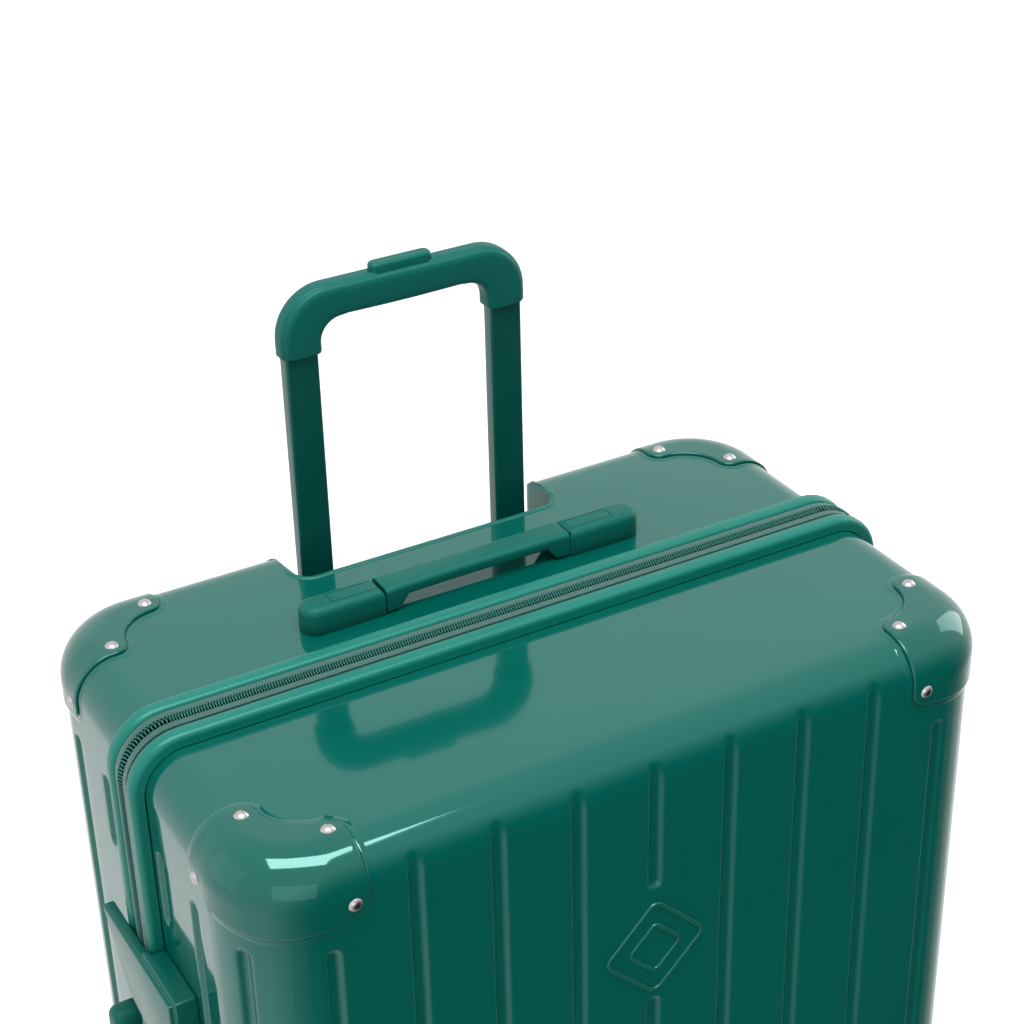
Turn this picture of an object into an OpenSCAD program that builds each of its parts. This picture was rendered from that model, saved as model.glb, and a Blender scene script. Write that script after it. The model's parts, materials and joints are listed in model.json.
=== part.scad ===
// Hard shell spinner suitcase: two ribbed half shells closed by a zipper, corner guards,
// moulded carry handles, a two-stage telescopic handle, a side lock and four twin-wheel casters.
// Row frame: origin on the floor under the middle of the case, +X right, -Y the front face, +Z up.

/* [Shell] */
// Width of the shell, side to side
shell_w = 500; // [420:1:620]
// Height of the shell, bottom to top
shell_h = 700; // [600:1:840]
// Depth of both half shells together
shell_d = 316; // [264:1:380]
// Thickness of the moulded shell wall
shell_wall = 2; // [1.5:0.1:3]
// Radius of the four upright edges, seen from above
plan_r = 54; // [46:1:64]
// Radius of the rounded edge round the top and the bottom
edge_r = 26; // [20:1:30]

/* [Ribs] */
// Distance between two pressed grooves of a face
groove_pitch = 50.4; // [42:0.1:60]
// Width of a pressed groove at the skin
groove_w = 9; // [6:0.1:11]
// Depth of a pressed groove
groove_depth = 2.2; // [1.5:0.1:3]
// Distance from the top of the shell to a middle groove's end
groove_top = 10; // [6:1:20]
// Distance from the top of the shell to an outer groove's end, below the corner guard
groove_top_outer = 56; // [50:1:80]
// Distance from the top of the shell to the middle groove's end above the emblem
groove_top_centre = 99; // [90:1:120]

/* [Zipper frame] */
// Half width of the closed zipper teeth
teeth_half_w = 3.3; // [2:0.1:5]
// Gap in the middle of the closed zipper
teeth_gap = 0.4; // [0.2:0.1:1]
// Height of the zipper teeth above the skin
teeth_h = 9; // [7:0.1:10]
// Height of the zipper tape above the skin
tape_h = 7; // [5:0.1:8]
// Thickness of the zipper tape
tape_t = 1.2; // [0.8:0.1:2]
// Distance from the middle plane to the piping
piping_start = 8; // [6:0.1:10]
// Width of the piping that frames each half shell
piping_w = 13; // [9:0.1:16]
// Height of the piping above the skin
piping_h = 8.5; // [6:0.1:10]

/* [Corner guards] */
// Thickness of a corner guard
guard_t = 2; // [1.5:0.1:3]
// How far a guard reaches from the corner along the edges
guard_reach = 71; // [66:1:90]
// How far a guard's lobes reach down the faces
guard_drop = 37.5; // [34:0.5:50]
// How much further it reaches at the corner, for each millimetre
guard_slope = 0.14; // [0:0.01:0.2]
// Radius of the round lobe about each rivet
lobe_r = 9; // [7:0.5:18]
// Distance from the shell's face to the nearer top rivet
rivet_near = 27.5; // [25:0.5:30]
// Radius of a rivet head
rivet_r = 4.2; // [3:0.1:6]
// Height of a rivet head
rivet_h = 2.2; // [1.5:0.1:3]

/* [Carry handles] */
// Length of a carry handle, cap to cap
carry_len = 236; // [200:1:260]
// Length of one end cap
carry_cap_len = 53; // [45:1:60]
// Width of the carry handle
carry_w = 21; // [18:0.5:26]
// Height of the carry handle above the skin
carry_h = 17.5; // [15:0.5:18]
// Thickness of the free bar
carry_bar_t = 8.3; // [6:0.1:9]
// Distance from the middle plane to the handle's centre line
carry_y = 53; // [44:0.5:60]
// How far the bar lifts out when it is pulled
carry_lift = 9; // [6:0.5:10]

/* [Telescopic handle] */
// Half distance between the two tubes
tube_x = 70.8; // [64:0.1:80]
// Distance from the middle plane to the tubes
tube_y = 134.9; // [125:0.1:140]
// Width of the inner tube
inner_w = 22; // [18:0.5:24]
// Depth of the inner tube
inner_d = 11; // [9:0.5:12]
// Wall of each tube
tube_wall = 1.3; // [1:0.1:1.6]
// Clearance between one tube and the next on each side
tube_clear = 0.35; // [0.2:0.05:0.5]
// Travel of the inner tubes, from seated to the first stop
inner_travel = 185; // [150:1:190]
// Travel of the middle tubes
middle_travel = 190; // [120:1:220]
// Height of the grip's underside above the shell at the first stop
grip_rise = 160; // [155:1:170]
// Thickness of the grip's cross bar
grip_t = 22.5; // [18:0.5:26]
// Wall of the grip's legs about the tubes
grip_wall = 2.5; // [2:0.1:5]
// Length of the grip's legs below the cross bar
grip_leg = 20; // [14:1:28]
// Length of the push button
button_len = 42; // [30:1:50]
// Width of the push button
button_w = 10; // [8:0.5:14]
// Height of the push button above the grip
button_proud = 5; // [4:0.5:8]
// Travel of the push button
button_travel = 4; // [3:0.5:5]

/* [Handle pan] */
// Room beside the grip in its recess
pan_room = 11.5; // [8:0.5:20]
// Distance from the middle plane to the recess's front wall
pan_front = 105.5; // [100:0.5:110]
// Depth of the recess below the top
pan_deep = 58; // [50:1:70]
// Corner radius of the recess in plan
pan_r = 14; // [8:1:20]
// Wall of the moulded pan
pan_wall = 2; // [1.5:0.1:3]

/* [Lock] */
// Distance from the shell's top to the lock housing
lock_drop = 134; // [120:1:200]
// Length of the lock housing
lock_len = 132; // [110:1:150]
// Height of the lock housing above the skin
lock_h = 16.5; // [14:0.5:17]
// Distance from the middle plane to the housing's front edge
lock_front = 69; // [60:1:75]
// How far the housing's tongue reaches over the rear half
lock_tongue = 40; // [30:1:45]
// Diameter of a number dial
dial_d = 16; // [12:0.5:18]
// Width of a number dial
dial_w = 5; // [4:0.5:7]

/* [Side feet] */
// Height of the side feet, level with the lock's dials
foot_h = 18; // [17:0.5:20]
// Radius of a side foot's flat end
foot_r = 11; // [8:0.5:14]

/* [Casters] */
// Diameter of a wheel
wheel_d = 50; // [40:1:52]
// Width of one wheel
wheel_w = 11; // [8:0.5:13]
// Diameter of the wheel axle
axle_d = 5; // [4:0.1:6]
// Radial clearance of a wheel on its axle and of a stem in its bore
running_clear = 0.05; // [0.02:0.01:0.1]
// Distance of the axle behind the swivel line
caster_trail = 16; // [12:0.5:20]
// Thickness of the fork's middle web
web_t = 6; // [4:0.5:8]
// Diameter of the swivel stem
stem_d = 12; // [8:0.5:14]
// Distance from the shell's side to the swivel line
caster_in_x = 54; // [46:1:60]
// Distance from the shell's face to the swivel line
caster_in_y = 52; // [46:1:56]

/* [Inside] */
// Gap between the shell's skin and the cloth lining
lining_gap = 7; // [6:0.5:12]
// Thickness of the lining
lining_t = 1.2; // [0.8:0.1:2]
// Width of a packing strap
strap_w = 30; // [20:1:40]

/* [Hidden] */
$fn = 64;
half_d = shell_d / 2;
plate_t = 6.5;
crown_t = 5;
crown_gap = 0.5;
wheel_room = 2;
caster_h = wheel_d + wheel_room + crown_t + crown_gap + plate_t + guard_t;
z_bottom = caster_h;
z_top = caster_h + shell_h;
z_mid = caster_h + shell_h / 2;
rim_y = piping_start + 1;
groove_r = (groove_w * groove_w / 4 + groove_depth * groove_depth) / (2 * groove_depth);
lift = groove_r - groove_depth;
// Number of grooves from the middle of a face round to its side, and those of the rear half's sides
front_count = 7;
rear_count = 5;
rear_side_grooves = [52.4, 100];
side_stop = 107;
emblem_drop = 142;
emblem_r = 34;
emblem_t = 1.2;
// The grooves from this one outwards start below the corner guards
guard_grooves = 4;
hinge_x = shell_w / 2 + piping_h + 1;
piping_end = piping_start + piping_w;
// How far the straight edges of a guard cut into its lobes
lobe_overlap = 0.06;
// Hollow between a guard's two top lobes: it touches both and passes midway between the rivets
lobe_gap = (guard_reach - lobe_r - rivet_near) / sqrt(2);
hollow_r = (lobe_gap * lobe_gap - lobe_r * lobe_r) / (2 * lobe_r);
hollow_at = (guard_reach - rivet_near + lobe_r) / 2 - hollow_r / sqrt(2);
cap_wall = 2;
slot_clear = 0.5;
bar_half = carry_len / 2 - carry_cap_len - slot_clear;
tongue_t = 4;
tongue_len = 36;
tongue_lift = 2.2;
middle_w = inner_w + 2 * (tube_clear + tube_wall);
middle_d = inner_d + 2 * (tube_clear + tube_wall);
outer_w = middle_w + 2 * (tube_clear + tube_wall);
outer_d = middle_d + 2 * (tube_clear + tube_wall);
pan_floor = z_top - pan_deep;
collar_h = 5;
collar_lip = 3;
tube_bottom = z_bottom + 12;
tube_overlap = 60;
middle_top = pan_floor + pan_wall + collar_h;
middle_bottom = middle_top - inner_travel - 2 * tube_overlap - 40;
inner_bottom = middle_top - tube_overlap;
grip_bottom = z_top + grip_rise - grip_leg;
grip_top = z_top + grip_rise + grip_t;
grip_half_w = tube_x + inner_w / 2 + grip_wall;
grip_d = inner_d + 2 * grip_wall;
pan_half_w = grip_half_w + pan_room;
grip_outer_r = 32;
grip_inner_r = 14;
grip_edge = 3;
button_in = 5;
button_gap = 0.4;
lock_top = z_top - lock_drop;
lock_roof = piping_h + 0.5;
tongue_drop = 47;
dial_pitch = 11;
dial_y = -45;
dial_gap = 0.4;
dial_z = lock_top - 52;
slide_z = lock_top - 100;
slide_travel = 4;
slide_w = 11;
slide_l = 15;
slide_deep = 3;
slide_gap = 0.4;
slider_z = [z_top - 300, z_top - 370];
slider_l = 14;
slider_w = 10;
pull_len = 34;
// The feet of the two halves are staggered, so that they pass each other when the case lies open
foot_rear_z = [120, shell_h - 120];
foot_front_z = [160, shell_h - 160];
foot_rear_y = 76;
foot_front_y = 57;
foot_base = 4;
plate_half = 31;
plate_r = 10;
screw_r = 3.3;
screw_h = 1.8;
stem_up = 14;
boss_r = stem_d / 2 + 5;
crown_r = 19;
crown_top = caster_h - guard_t - plate_t - crown_gap;
hood_gap = 1.2;
hood_t = 1.8;
wheel_gap = 0.4;
axle_cap_t = 1.5;
axle_half = web_t / 2 + wheel_w + 2 * wheel_gap;
caster_x = shell_w / 2 - caster_in_x;
caster_y = half_d - caster_in_y;
false_floor = tube_y - outer_d / 2 - 4;
strap_t = 1.5;
buckle_half = 28;
buckle_t = 4.5;
strap_y = false_floor - lining_t - strap_t;
// Casters: front left, front right, rear left, rear right
CASTER = [[-1, -1], [1, -1], [-1, 1], [1, 1]];

// ---- Frames: local x, y and z become X, Z and the depth away from the middle plane ----

module front_half() {
    translate([0, 0, z_mid]) rotate([90, 0, 0]) children();
}

module rear_half() {
    mirror([0, 1, 0]) front_half() children();
}

module mirror_x() {
    children();
    mirror([1, 0, 0]) children();
}

// Both the upper and the lower copy, about the middle of the shell's height
module mirror_z() {
    children();
    translate([0, 0, 2 * z_mid]) mirror([0, 0, 1]) children();
}

// ---- Shared shapes ----

module rounded_rect(w, h, r) {
    square([w - 2 * r, h], center = true);
    square([w, h - 2 * r], center = true);
    for (sx = [-1, 1], sy = [-1, 1]) translate([sx * (w / 2 - r), sy * (h / 2 - r)]) circle(r);
}

// A profile swept round a w by h rectangle with corners of radius r: x is the distance outside
// the rectangle, y runs along the sweep's axis. Side and corner 0 are at the right.
module sweep(w, h, r, sides = [0, 1, 2, 3], corners = [0, 1, 2, 3]) {
    dx = w / 2 - r;
    dy = h / 2 - r;
    for (k = corners) {
        sx = k == 0 || k == 3 ? 1 : -1;
        sy = k < 2 ? 1 : -1;
        translate([sx * dx, sy * dy, 0]) rotate([0, 0, 90 * k])
            rotate_extrude(angle = 90) translate([r, 0]) children();
    }
    for (k = sides) {
        upright = k % 2 == 0;
        translate([upright ? (1 - k) * dx : 0, upright ? 0 : (2 - k) * dy, 0]) rotate([90, 0, 90 * k])
            linear_extrude(2 * (upright ? dy : dx), center = true) translate([r, 0]) children();
    }
}

// Section of the case through its wall, skin moved out by grow: x = 0 is the skin
module skin_section(grow) {
    r = edge_r + grow;
    translate([-edge_r, 0]) square([r, shell_h - 2 * edge_r]);
    for (z = [0, shell_h - 2 * edge_r]) translate([-edge_r, z]) intersection() {
        circle(r);
        translate([0, z > 0 ? 0 : -r]) square(r);
    }
}

// The whole case as a solid, its skin moved out by grow
module case_solid(grow) {
    translate([0, 0, z_bottom + edge_r]) sweep(shell_w, shell_d, plan_r) skin_section(grow);
    translate([0, 0, z_bottom - grow]) linear_extrude(shell_h + 2 * grow) case_core();
}

module case_core() {
    rounded_rect(shell_w - 2 * edge_r, shell_d - 2 * edge_r, plan_r - edge_r);
}

// A wall that follows the case, from its outer skin at outer to its inner one at inner
module case_wall(outer, inner) {
    translate([0, 0, z_bottom + edge_r]) sweep(shell_w, shell_d, plan_r) difference() {
        skin_section(outer);
        skin_section(inner);
    }
    for (z = [z_bottom - outer, z_top + inner]) translate([0, 0, z]) linear_extrude(outer - inner) case_core();
}

// Keeps what lies between two distances from the middle plane, on the front or the rear side
module keep(sy, y0, y1) {
    intersection() {
        children();
        translate([-shell_w, sy > 0 ? y0 : -y1, 0]) cube([2 * shell_w, y1 - y0, z_top + 50]);
    }
}

// ---- Half shells ----

// An upright rod with round ends
module rod(x, y, z0, z1, r) {
    translate([x, y, z0]) cylinder(r = r, h = z1 - z0);
    for (z = [z0, z1]) translate([x, y, z]) sphere(r);
}

// Centre of a groove's rod at the distance s round the case from the middle of a face
function groove_xy(s) =
    let (flat_x = shell_w / 2 - plan_r, bend = plan_r * PI / 2, a = (s - flat_x) / plan_r * 180 / PI,
         r = plan_r + lift)
    s <= flat_x ? [s, half_d + lift]
    : s <= flat_x + bend ? [flat_x + r * sin(a), half_d - plan_r + r * cos(a)]
    : [shell_w / 2 + lift, half_d - plan_r - (s - flat_x - bend)];
function groove_low(drop) = z_bottom + drop + groove_r;
function groove_high(drop) = z_top - drop - groove_r;
function groove_drop(k) = k < guard_grooves ? groove_top : groove_top_outer;

// Grooves of one half as [x, distance from the middle plane, low end, high end]
function paired_grooves(count) = [
    for (k = [1 : count], sx = [-1, 1]) let (p = groove_xy(k * groove_pitch), d = groove_drop(k))
        if (k < front_count || sx > 0) [sx * p[0], p[1], groove_low(d), groove_high(d)]
];
// A groove of the left side that stops above the lock or handle and goes on below it
function cut_grooves(y, resume) = let (x = -(shell_w / 2 + lift)) [
    [x, y, z_top - side_stop + groove_r, groove_high(groove_top_outer)],
    [x, y, groove_low(groove_top_outer), z_top - resume - groove_r]
];
function centre_grooves() = [
    [0, half_d + lift, z_top - groove_top_centre + groove_r, groove_high(groove_top)],
    [0, half_d + lift, groove_low(groove_top), z_top - emblem_drop - emblem_r - 10]
];
front_grooves = concat(paired_grooves(front_count), centre_grooves(),
    cut_grooves(groove_xy(front_count * groove_pitch)[1], lock_drop + lock_len + 12));
rear_grooves = concat(paired_grooves(rear_count),
    [[0, half_d + lift, groove_low(groove_top), groove_high(groove_top)]],
    [for (y = rear_side_grooves, sx = [-1, 1]) if (sx > 0 || y > rear_side_grooves[0])
        [sx * (shell_w / 2 + lift), y, groove_low(groove_top_outer), groove_high(groove_top_outer)]],
    cut_grooves(rear_side_grooves[0], shell_h / 2 + carry_len / 2 + 12));

module half_shell(sy, rows) {
    difference() {
        union() {
            keep(sy, rim_y, half_d + 1) case_wall(0, -shell_wall);
            keep(sy, rim_y, half_d) intersection() {
                for (g = rows) rod(g[0], sy * g[1], g[2], g[3], groove_r + shell_wall);
                case_solid(-shell_wall / 2);
            }
        }
        for (g = rows) rod(g[0], sy * g[1], g[2], g[3], groove_r);
    }
}

// Swivel bosses pass through the shell's underside
module boss_cuts(sy) {
    for (c = CASTER) if (c[1] == sy)
        translate([c[0] * caster_x, sy * caster_y, z_bottom - 10]) cylinder(r = boss_r, h = 30);
}

module front_shell() {
    color([0.0, 0.35, 0.31]) difference() {
        half_shell(-1, front_grooves);
        boss_cuts(-1);
    }
}

module rear_shell() {
    color([0.0, 0.35, 0.31]) difference() {
        half_shell(1, rear_grooves);
        boss_cuts(1);
        pan_space(0, 60);
    }
}

// ---- Corner guards and rivets ----

// Outline of a guard on a face: x is the distance from the inner edge, y runs up to the top.
// The lower edge slopes down from the rivet's lobe to the corner.
module guard_face() {
    far = guard_reach + 10;
    tilt = atan(guard_slope);
    near = lobe_r - lobe_overlap;
    x = lobe_r - near * sin(tilt);
    y = lobe_r - near * cos(tilt);
    translate([lobe_r, lobe_r]) circle(lobe_r);
    polygon([[lobe_overlap, lobe_r], [x, y], [far, y - (far - x) * guard_slope], [far, far], [lobe_overlap, far]]);
}

// Plan of a guard on the shell's top: two lobes with a hollow between them
module guard_plan() {
    far = guard_reach + 10;
    a = [lobe_r, guard_reach - rivet_near];
    b = [a[1], a[0]];
    translate([lobe_overlap, a[1]]) square([far, far - a[1]]);
    translate([b[0], lobe_overlap]) square([far - b[0], far]);
    translate(a) circle(lobe_r);
    translate(b) circle(lobe_r);
    difference() {
        polygon([[hollow_at, hollow_at], a, [a[0], far], [far, far], [far, b[1]], b]);
        translate([hollow_at, hollow_at]) circle(hollow_r + lobe_overlap);
    }
}

// One guard, at the upper right corner of the front half
module guard() {
    x0 = shell_w / 2 - guard_reach;
    y0 = half_d - guard_reach;
    z0 = z_top - guard_drop;
    far = guard_reach + 10;
    intersection() {
        keep(-1, half_d - guard_reach, half_d + 10) case_wall(guard_t, 0);
        translate([x0, 0, z0]) rotate([90, 0, 0]) linear_extrude(half_d + 10) guard_face();
        translate([0, -y0, z0]) rotate([90, 0, -90]) mirror([0, 0, 1])
            linear_extrude(shell_w) guard_face();
        translate([x0, -y0, z0 - 1]) mirror([0, 1, 0]) linear_extrude(far) guard_plan();
    }
}

module guards(sy) {
    color([0.0, 0.33, 0.29]) difference() {
        mirror([0, sy > 0 ? 1 : 0, 0]) mirror_z() mirror_x() guard();
        boss_cuts(sy);
    }
}

// A domed head standing on the plane z = 0
module rivet_head() {
    r = (rivet_r * rivet_r + rivet_h * rivet_h) / (2 * rivet_h);
    intersection() {
        translate([0, 0, rivet_h - r]) sphere(r);
        cylinder(r = rivet_r + 1, h = rivet_h + 1);
    }
}

module face_rivets() {
    z = z_top - guard_drop + lobe_r;
    translate([shell_w / 2 - guard_reach + lobe_r, -half_d - guard_t, z]) rotate([90, 0, 0]) rivet_head();
    translate([shell_w / 2 + guard_t, -half_d + guard_reach - lobe_r, z]) rotate([0, 90, 0]) rivet_head();
}

module top_rivets() {
    far = guard_reach - lobe_r;
    for (p = [[far, rivet_near], [rivet_near, far]])
        translate([shell_w / 2 - p[0], -half_d + p[1], z_top + guard_t]) rivet_head();
}

module rivets(sy) {
    color("silver") mirror([0, sy > 0 ? 1 : 0, 0]) mirror_x() {
        mirror_z() face_rivets();
        top_rivets();
    }
}

// ---- Zipper frame ----

// Rounded band: flat foot on the skin and a round crest
module piping_section() {
    r = 4;
    translate([0, piping_start]) square([piping_h - r, piping_w]);
    translate([0, piping_start + r]) square([piping_h, piping_w - 2 * r]);
    for (y = [piping_start + r, piping_end - r]) translate([piping_h - r, y]) circle(r);
}

module zipper_sweep(sides = [0, 1, 2, 3], corners = [0, 1, 2, 3]) {
    sweep(shell_w, shell_h, edge_r, sides, corners) children();
}

module piping() {
    color([0.1, 0.45, 0.4]) zipper_sweep() piping_section();
}

module zipper_tape() {
    color([0.0, 0.3, 0.26]) zipper_sweep()
        translate([tape_h - tape_t, teeth_half_w]) square([tape_t, piping_start - teeth_half_w]);
}

// The teeth run round three sides; the right side carries the hinge cloth
module zipper_teeth() {
    color([0.1, 0.4, 0.36]) zipper_sweep(sides = [1, 2, 3])
        translate([tape_h - tape_t, teeth_gap / 2]) square([teeth_h - tape_h + tape_t, teeth_half_w - teeth_gap / 2]);
}

module hinge_cloth() {
    color([0.0, 0.25, 0.22]) zipper_sweep(sides = [0], corners = [])
        translate([tape_h - tape_t, teeth_gap / 2]) square([tape_t, teeth_half_w - teeth_gap / 2]);
}

module slider_body(z) {
    x = shell_w / 2 + teeth_h + 0.3;
    translate([-x - 1.5, 0, z]) cube([3, slider_w, slider_l], center = true);
    for (sz = [-1, 1])
        translate([-x - 4.2, 0, z + sz * 4]) cube([3.4, 3, 2], center = true);
    translate([-x - 5.4, 0, z]) cube([1.2, 3, 10], center = true);
}

module zipper_sliders() {
    color([0.05, 0.3, 0.26]) for (z = slider_z) slider_body(z);
}

// A flat tab whose eye goes round the slider's bridge; it hangs down
module zipper_pull(z) {
    x = -(shell_w / 2 + teeth_h + 0.3 + 3.9);
    t = 1.2;
    color([0.0, 0.3, 0.26]) translate([x, 0, z]) {
        rotate([90, 0, 0]) cylinder(r = t / 2, h = 7, center = true);
        translate([-t / 2, 0, 0]) rotate([0, 90, 0]) linear_extrude(t) difference() {
            union() {
                translate([0, -3.5]) square([pull_len - 4, 7]);
                translate([pull_len - 4, 0]) circle(5);
            }
            translate([0.6, -1.8]) square([7, 3.6]);
            translate([-2, -4]) square([2, 8]);
        }
    }
}

// ---- Carry handles: built on the plane z = 0, along X ----

module carry_cap() {
    x0 = carry_len / 2 - carry_cap_len;
    difference() {
        union() {
            translate([x0, -carry_w / 2, 0]) cube([carry_cap_len - carry_w / 2 + 2, carry_w, carry_h - 2]);
            translate([x0, -carry_w / 2 + 2, 0]) cube([carry_cap_len - carry_w / 2, carry_w - 4, carry_h]);
            translate([carry_len / 2 - carry_w / 2, 0, 0]) cylinder(r = carry_w / 2, h = carry_h - 2);
            translate([carry_len / 2 - carry_w / 2, 0, 0]) cylinder(r = carry_w / 2 - 2, h = carry_h);
        }
        translate([x0 - 1, -carry_w / 2 + cap_wall, tongue_lift - slot_clear])
            cube([tongue_len + 8, carry_w - 2 * cap_wall, tongue_t + carry_lift + 2 * slot_clear]);
    }
}

module carry_bar() {
    leg = 9;
    translate([-bar_half, -carry_w / 2, carry_h - carry_bar_t]) cube([2 * bar_half, carry_w, carry_bar_t - 2]);
    translate([-bar_half, -carry_w / 2 + 2, carry_h - carry_bar_t]) cube([2 * bar_half, carry_w - 4, carry_bar_t]);
    mirror_x() {
        translate([bar_half - leg, -carry_w / 2, 0.6]) cube([leg, carry_w, carry_h - carry_bar_t - 0.6]);
        translate([bar_half - 1, -carry_w / 2 + cap_wall + slot_clear, tongue_lift])
            cube([tongue_len, carry_w - 2 * (cap_wall + slot_clear), tongue_t]);
    }
}

module on_top() {
    translate([0, carry_y, z_top]) children();
}

module on_left_side() {
    translate([-shell_w / 2, carry_y, z_mid]) rotate([0, -90, 0]) children();
}

module carry_caps() {
    color([0.0, 0.36, 0.32]) mirror_x() carry_cap();
}

module carry_bar_colour() {
    color([0.0, 0.38, 0.33]) carry_bar();
}

// ---- Telescopic handle ----

// Rectangle with bevelled corners
module tube_outline(w, d) {
    b = 3;
    polygon([[-w / 2 + b, -d / 2], [w / 2 - b, -d / 2], [w / 2, -d / 2 + b], [w / 2, d / 2 - b],
        [w / 2 - b, d / 2], [-w / 2 + b, d / 2], [-w / 2, d / 2 - b], [-w / 2, -d / 2 + b]]);
}

module tube_pair(w, d, z0, z1) {
    for (sx = [-1, 1]) translate([sx * tube_x, tube_y, z0]) linear_extrude(z1 - z0) difference() {
        tube_outline(w, d);
        tube_outline(w - 2 * tube_wall, d - 2 * tube_wall);
    }
}

module collar_pair(w, d, z, h) {
    for (sx = [-1, 1]) translate([sx * tube_x, tube_y, z]) linear_extrude(h) difference() {
        tube_outline(w + 2 * collar_lip, d + 2 * collar_lip);
        tube_outline(w + 2 * tube_clear, d + 2 * tube_clear);
    }
}

module outer_tubes() {
    color("silver") tube_pair(outer_w, outer_d, tube_bottom, pan_floor);
}

module outer_tube_collars() {
    color([0.05, 0.05, 0.05]) collar_pair(middle_w, middle_d, pan_floor + pan_wall, collar_h);
}

module tube_foot() {
    w = outer_w + 12;
    color([0.08, 0.08, 0.08]) difference() {
        for (sx = [-1, 1]) translate([sx * tube_x, tube_y, z_bottom + shell_wall + 8]) linear_extrude(18)
            square([w, outer_d + 5], center = true);
        tube_solid(outer_w, outer_d, tube_bottom, z_top);
    }
    color([0.08, 0.08, 0.08]) translate([-tube_x + w / 2, tube_y - 4, z_bottom + shell_wall + 8])
        cube([2 * tube_x - w, 8, 12]);
}

module tube_solid(w, d, z0, z1) {
    for (sx = [-1, 1]) translate([sx * tube_x, tube_y, z0]) linear_extrude(z1 - z0) tube_outline(w, d);
}

module middle_tubes() {
    color([0.0, 0.3, 0.26]) tube_pair(middle_w, middle_d, middle_bottom, middle_top);
}

module middle_tube_collars() {
    color([0.05, 0.05, 0.05]) collar_pair(inner_w, inner_d, middle_top, collar_h);
}

module inner_tubes() {
    color([0.0, 0.3, 0.26]) tube_pair(inner_w, inner_d, inner_bottom, grip_bottom + grip_leg / 2);
}

// Outline of the grip in X and Z, drawn in by inset
module grip_outline(inset) {
    w = 2 * (grip_half_w - inset);
    leg_in = 2 * (tube_x - (grip_half_w - tube_x)) + 2 * inset;
    ro = grip_outer_r - inset;
    ri = grip_inner_r;
    top = grip_top - inset;
    difference() {
        union() {
            translate([-w / 2, grip_bottom]) square([w, top - grip_bottom - ro]);
            translate([-w / 2 + ro, grip_bottom]) square([w - 2 * ro, top - grip_bottom]);
            intersection() {
                for (sx = [-1, 1]) translate([sx * (w / 2 - ro), top - ro]) circle(ro);
                translate([-w / 2, grip_bottom]) square([w, top - grip_bottom]);
            }
        }
        union() {
            under = grip_top - grip_t + inset;
            translate([-leg_in / 2, grip_bottom - 1]) square([leg_in, under - grip_bottom - ri + 1]);
            translate([-leg_in / 2 + ri, grip_bottom - 1]) square([leg_in - 2 * ri, under - grip_bottom + 1]);
            for (sx = [-1, 1]) translate([sx * (leg_in / 2 - ri), under - ri]) circle(ri);
        }
    }
}

module grip() {
    color([0.0, 0.37, 0.32]) difference() {
        union() for (i = [[0, grip_d - 2 * grip_edge], [1, grip_d - grip_edge], [grip_edge, grip_d]])
            translate([0, tube_y, 0]) rotate([90, 0, 0]) linear_extrude(i[1], center = true) grip_outline(i[0]);
        tube_solid(inner_w, inner_d, grip_bottom - 1, grip_bottom + grip_leg / 2);
        translate([0, tube_y, grip_top - button_in - button_travel - 1])
            linear_extrude(button_in + button_travel + 5) button_outline(button_gap);
    }
}

module button_outline(grow) {
    rounded_rect(button_len + 2 * grow, button_w + 2 * grow, button_w / 2 - 0.5 + grow);
}

module push_button() {
    color([0.0, 0.35, 0.3]) translate([0, tube_y, grip_top - button_in]) {
        linear_extrude(button_in + button_proud - 1.5) button_outline(0);
        linear_extrude(button_in + button_proud) rounded_rect(button_len - 4, button_w - 3, button_w / 2 - 2);
    }
}

// Space of the grip's recess; grow moves its walls out, and over runs past the rear face
module pan_space(grow, over) {
    w = 2 * (pan_half_w + grow);
    r = pan_r + grow;
    y0 = pan_front - grow;
    translate([0, 0, pan_floor - grow]) linear_extrude(pan_deep + 2 * grow + 30) union() {
        translate([-w / 2, y0 + r]) square([w, half_d - y0 - r + over]);
        translate([-w / 2 + r, y0]) square([w - 2 * r, r + 1]);
        for (sx = [-1, 1]) translate([sx * (w / 2 - r), y0 + r]) circle(r);
    }
}

module handle_pan() {
    color([0.0, 0.3, 0.26]) difference() {
        intersection() {
            pan_space(0, -shell_wall);
            translate([-shell_w / 2, 0, 0]) cube([shell_w, shell_d, z_top + 0.8]);
        }
        pan_space(-pan_wall, 60);
        tube_solid(middle_w + 2 * tube_clear, middle_d + 2 * tube_clear, z_bottom, z_top);
    }
}

// ---- Lock on the left side, carried by the front half ----

module lock_housing() {
    x0 = -shell_w / 2;
    bevel = 3;
    color([0.0, 0.32, 0.28]) difference() {
        union() {
            translate([x0 - lock_h + bevel, -lock_front, lock_top - lock_len])
                cube([lock_h - bevel, lock_front - 17, lock_len]);
            translate([x0 - lock_h, -lock_front + bevel, lock_top - lock_len + bevel])
                cube([lock_h, lock_front - 17 - bevel, lock_len - 2 * bevel]);
            // The tongue over the zipper: its rear edge slopes back down to the housing
            translate([x0 - lock_roof, 0, 0]) rotate([0, -90, 0]) linear_extrude(lock_h - lock_roof)
                polygon([[lock_top - lock_len + bevel, -18], [lock_top - tongue_drop - 8, -18],
                    [lock_top - tongue_drop, 9], [lock_top - bevel, lock_tongue],
                    [lock_top - bevel, -18]]);
        }
        translate([x0 - lock_roof, -piping_end - 0.4, lock_top - lock_len - 1])
            cube([lock_roof + 1, 100, lock_len + 2]);
        for (i = [0:2]) dial_pocket(i);
        translate([x0 - lock_h - 1, dial_y - slide_w / 2 - slide_gap, slide_z - slide_l / 2 - slide_travel - slide_gap])
            cube([slide_deep + slide_gap + 1, slide_w + 2 * slide_gap, slide_l + slide_travel + 2 * slide_gap]);
    }
}

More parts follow.
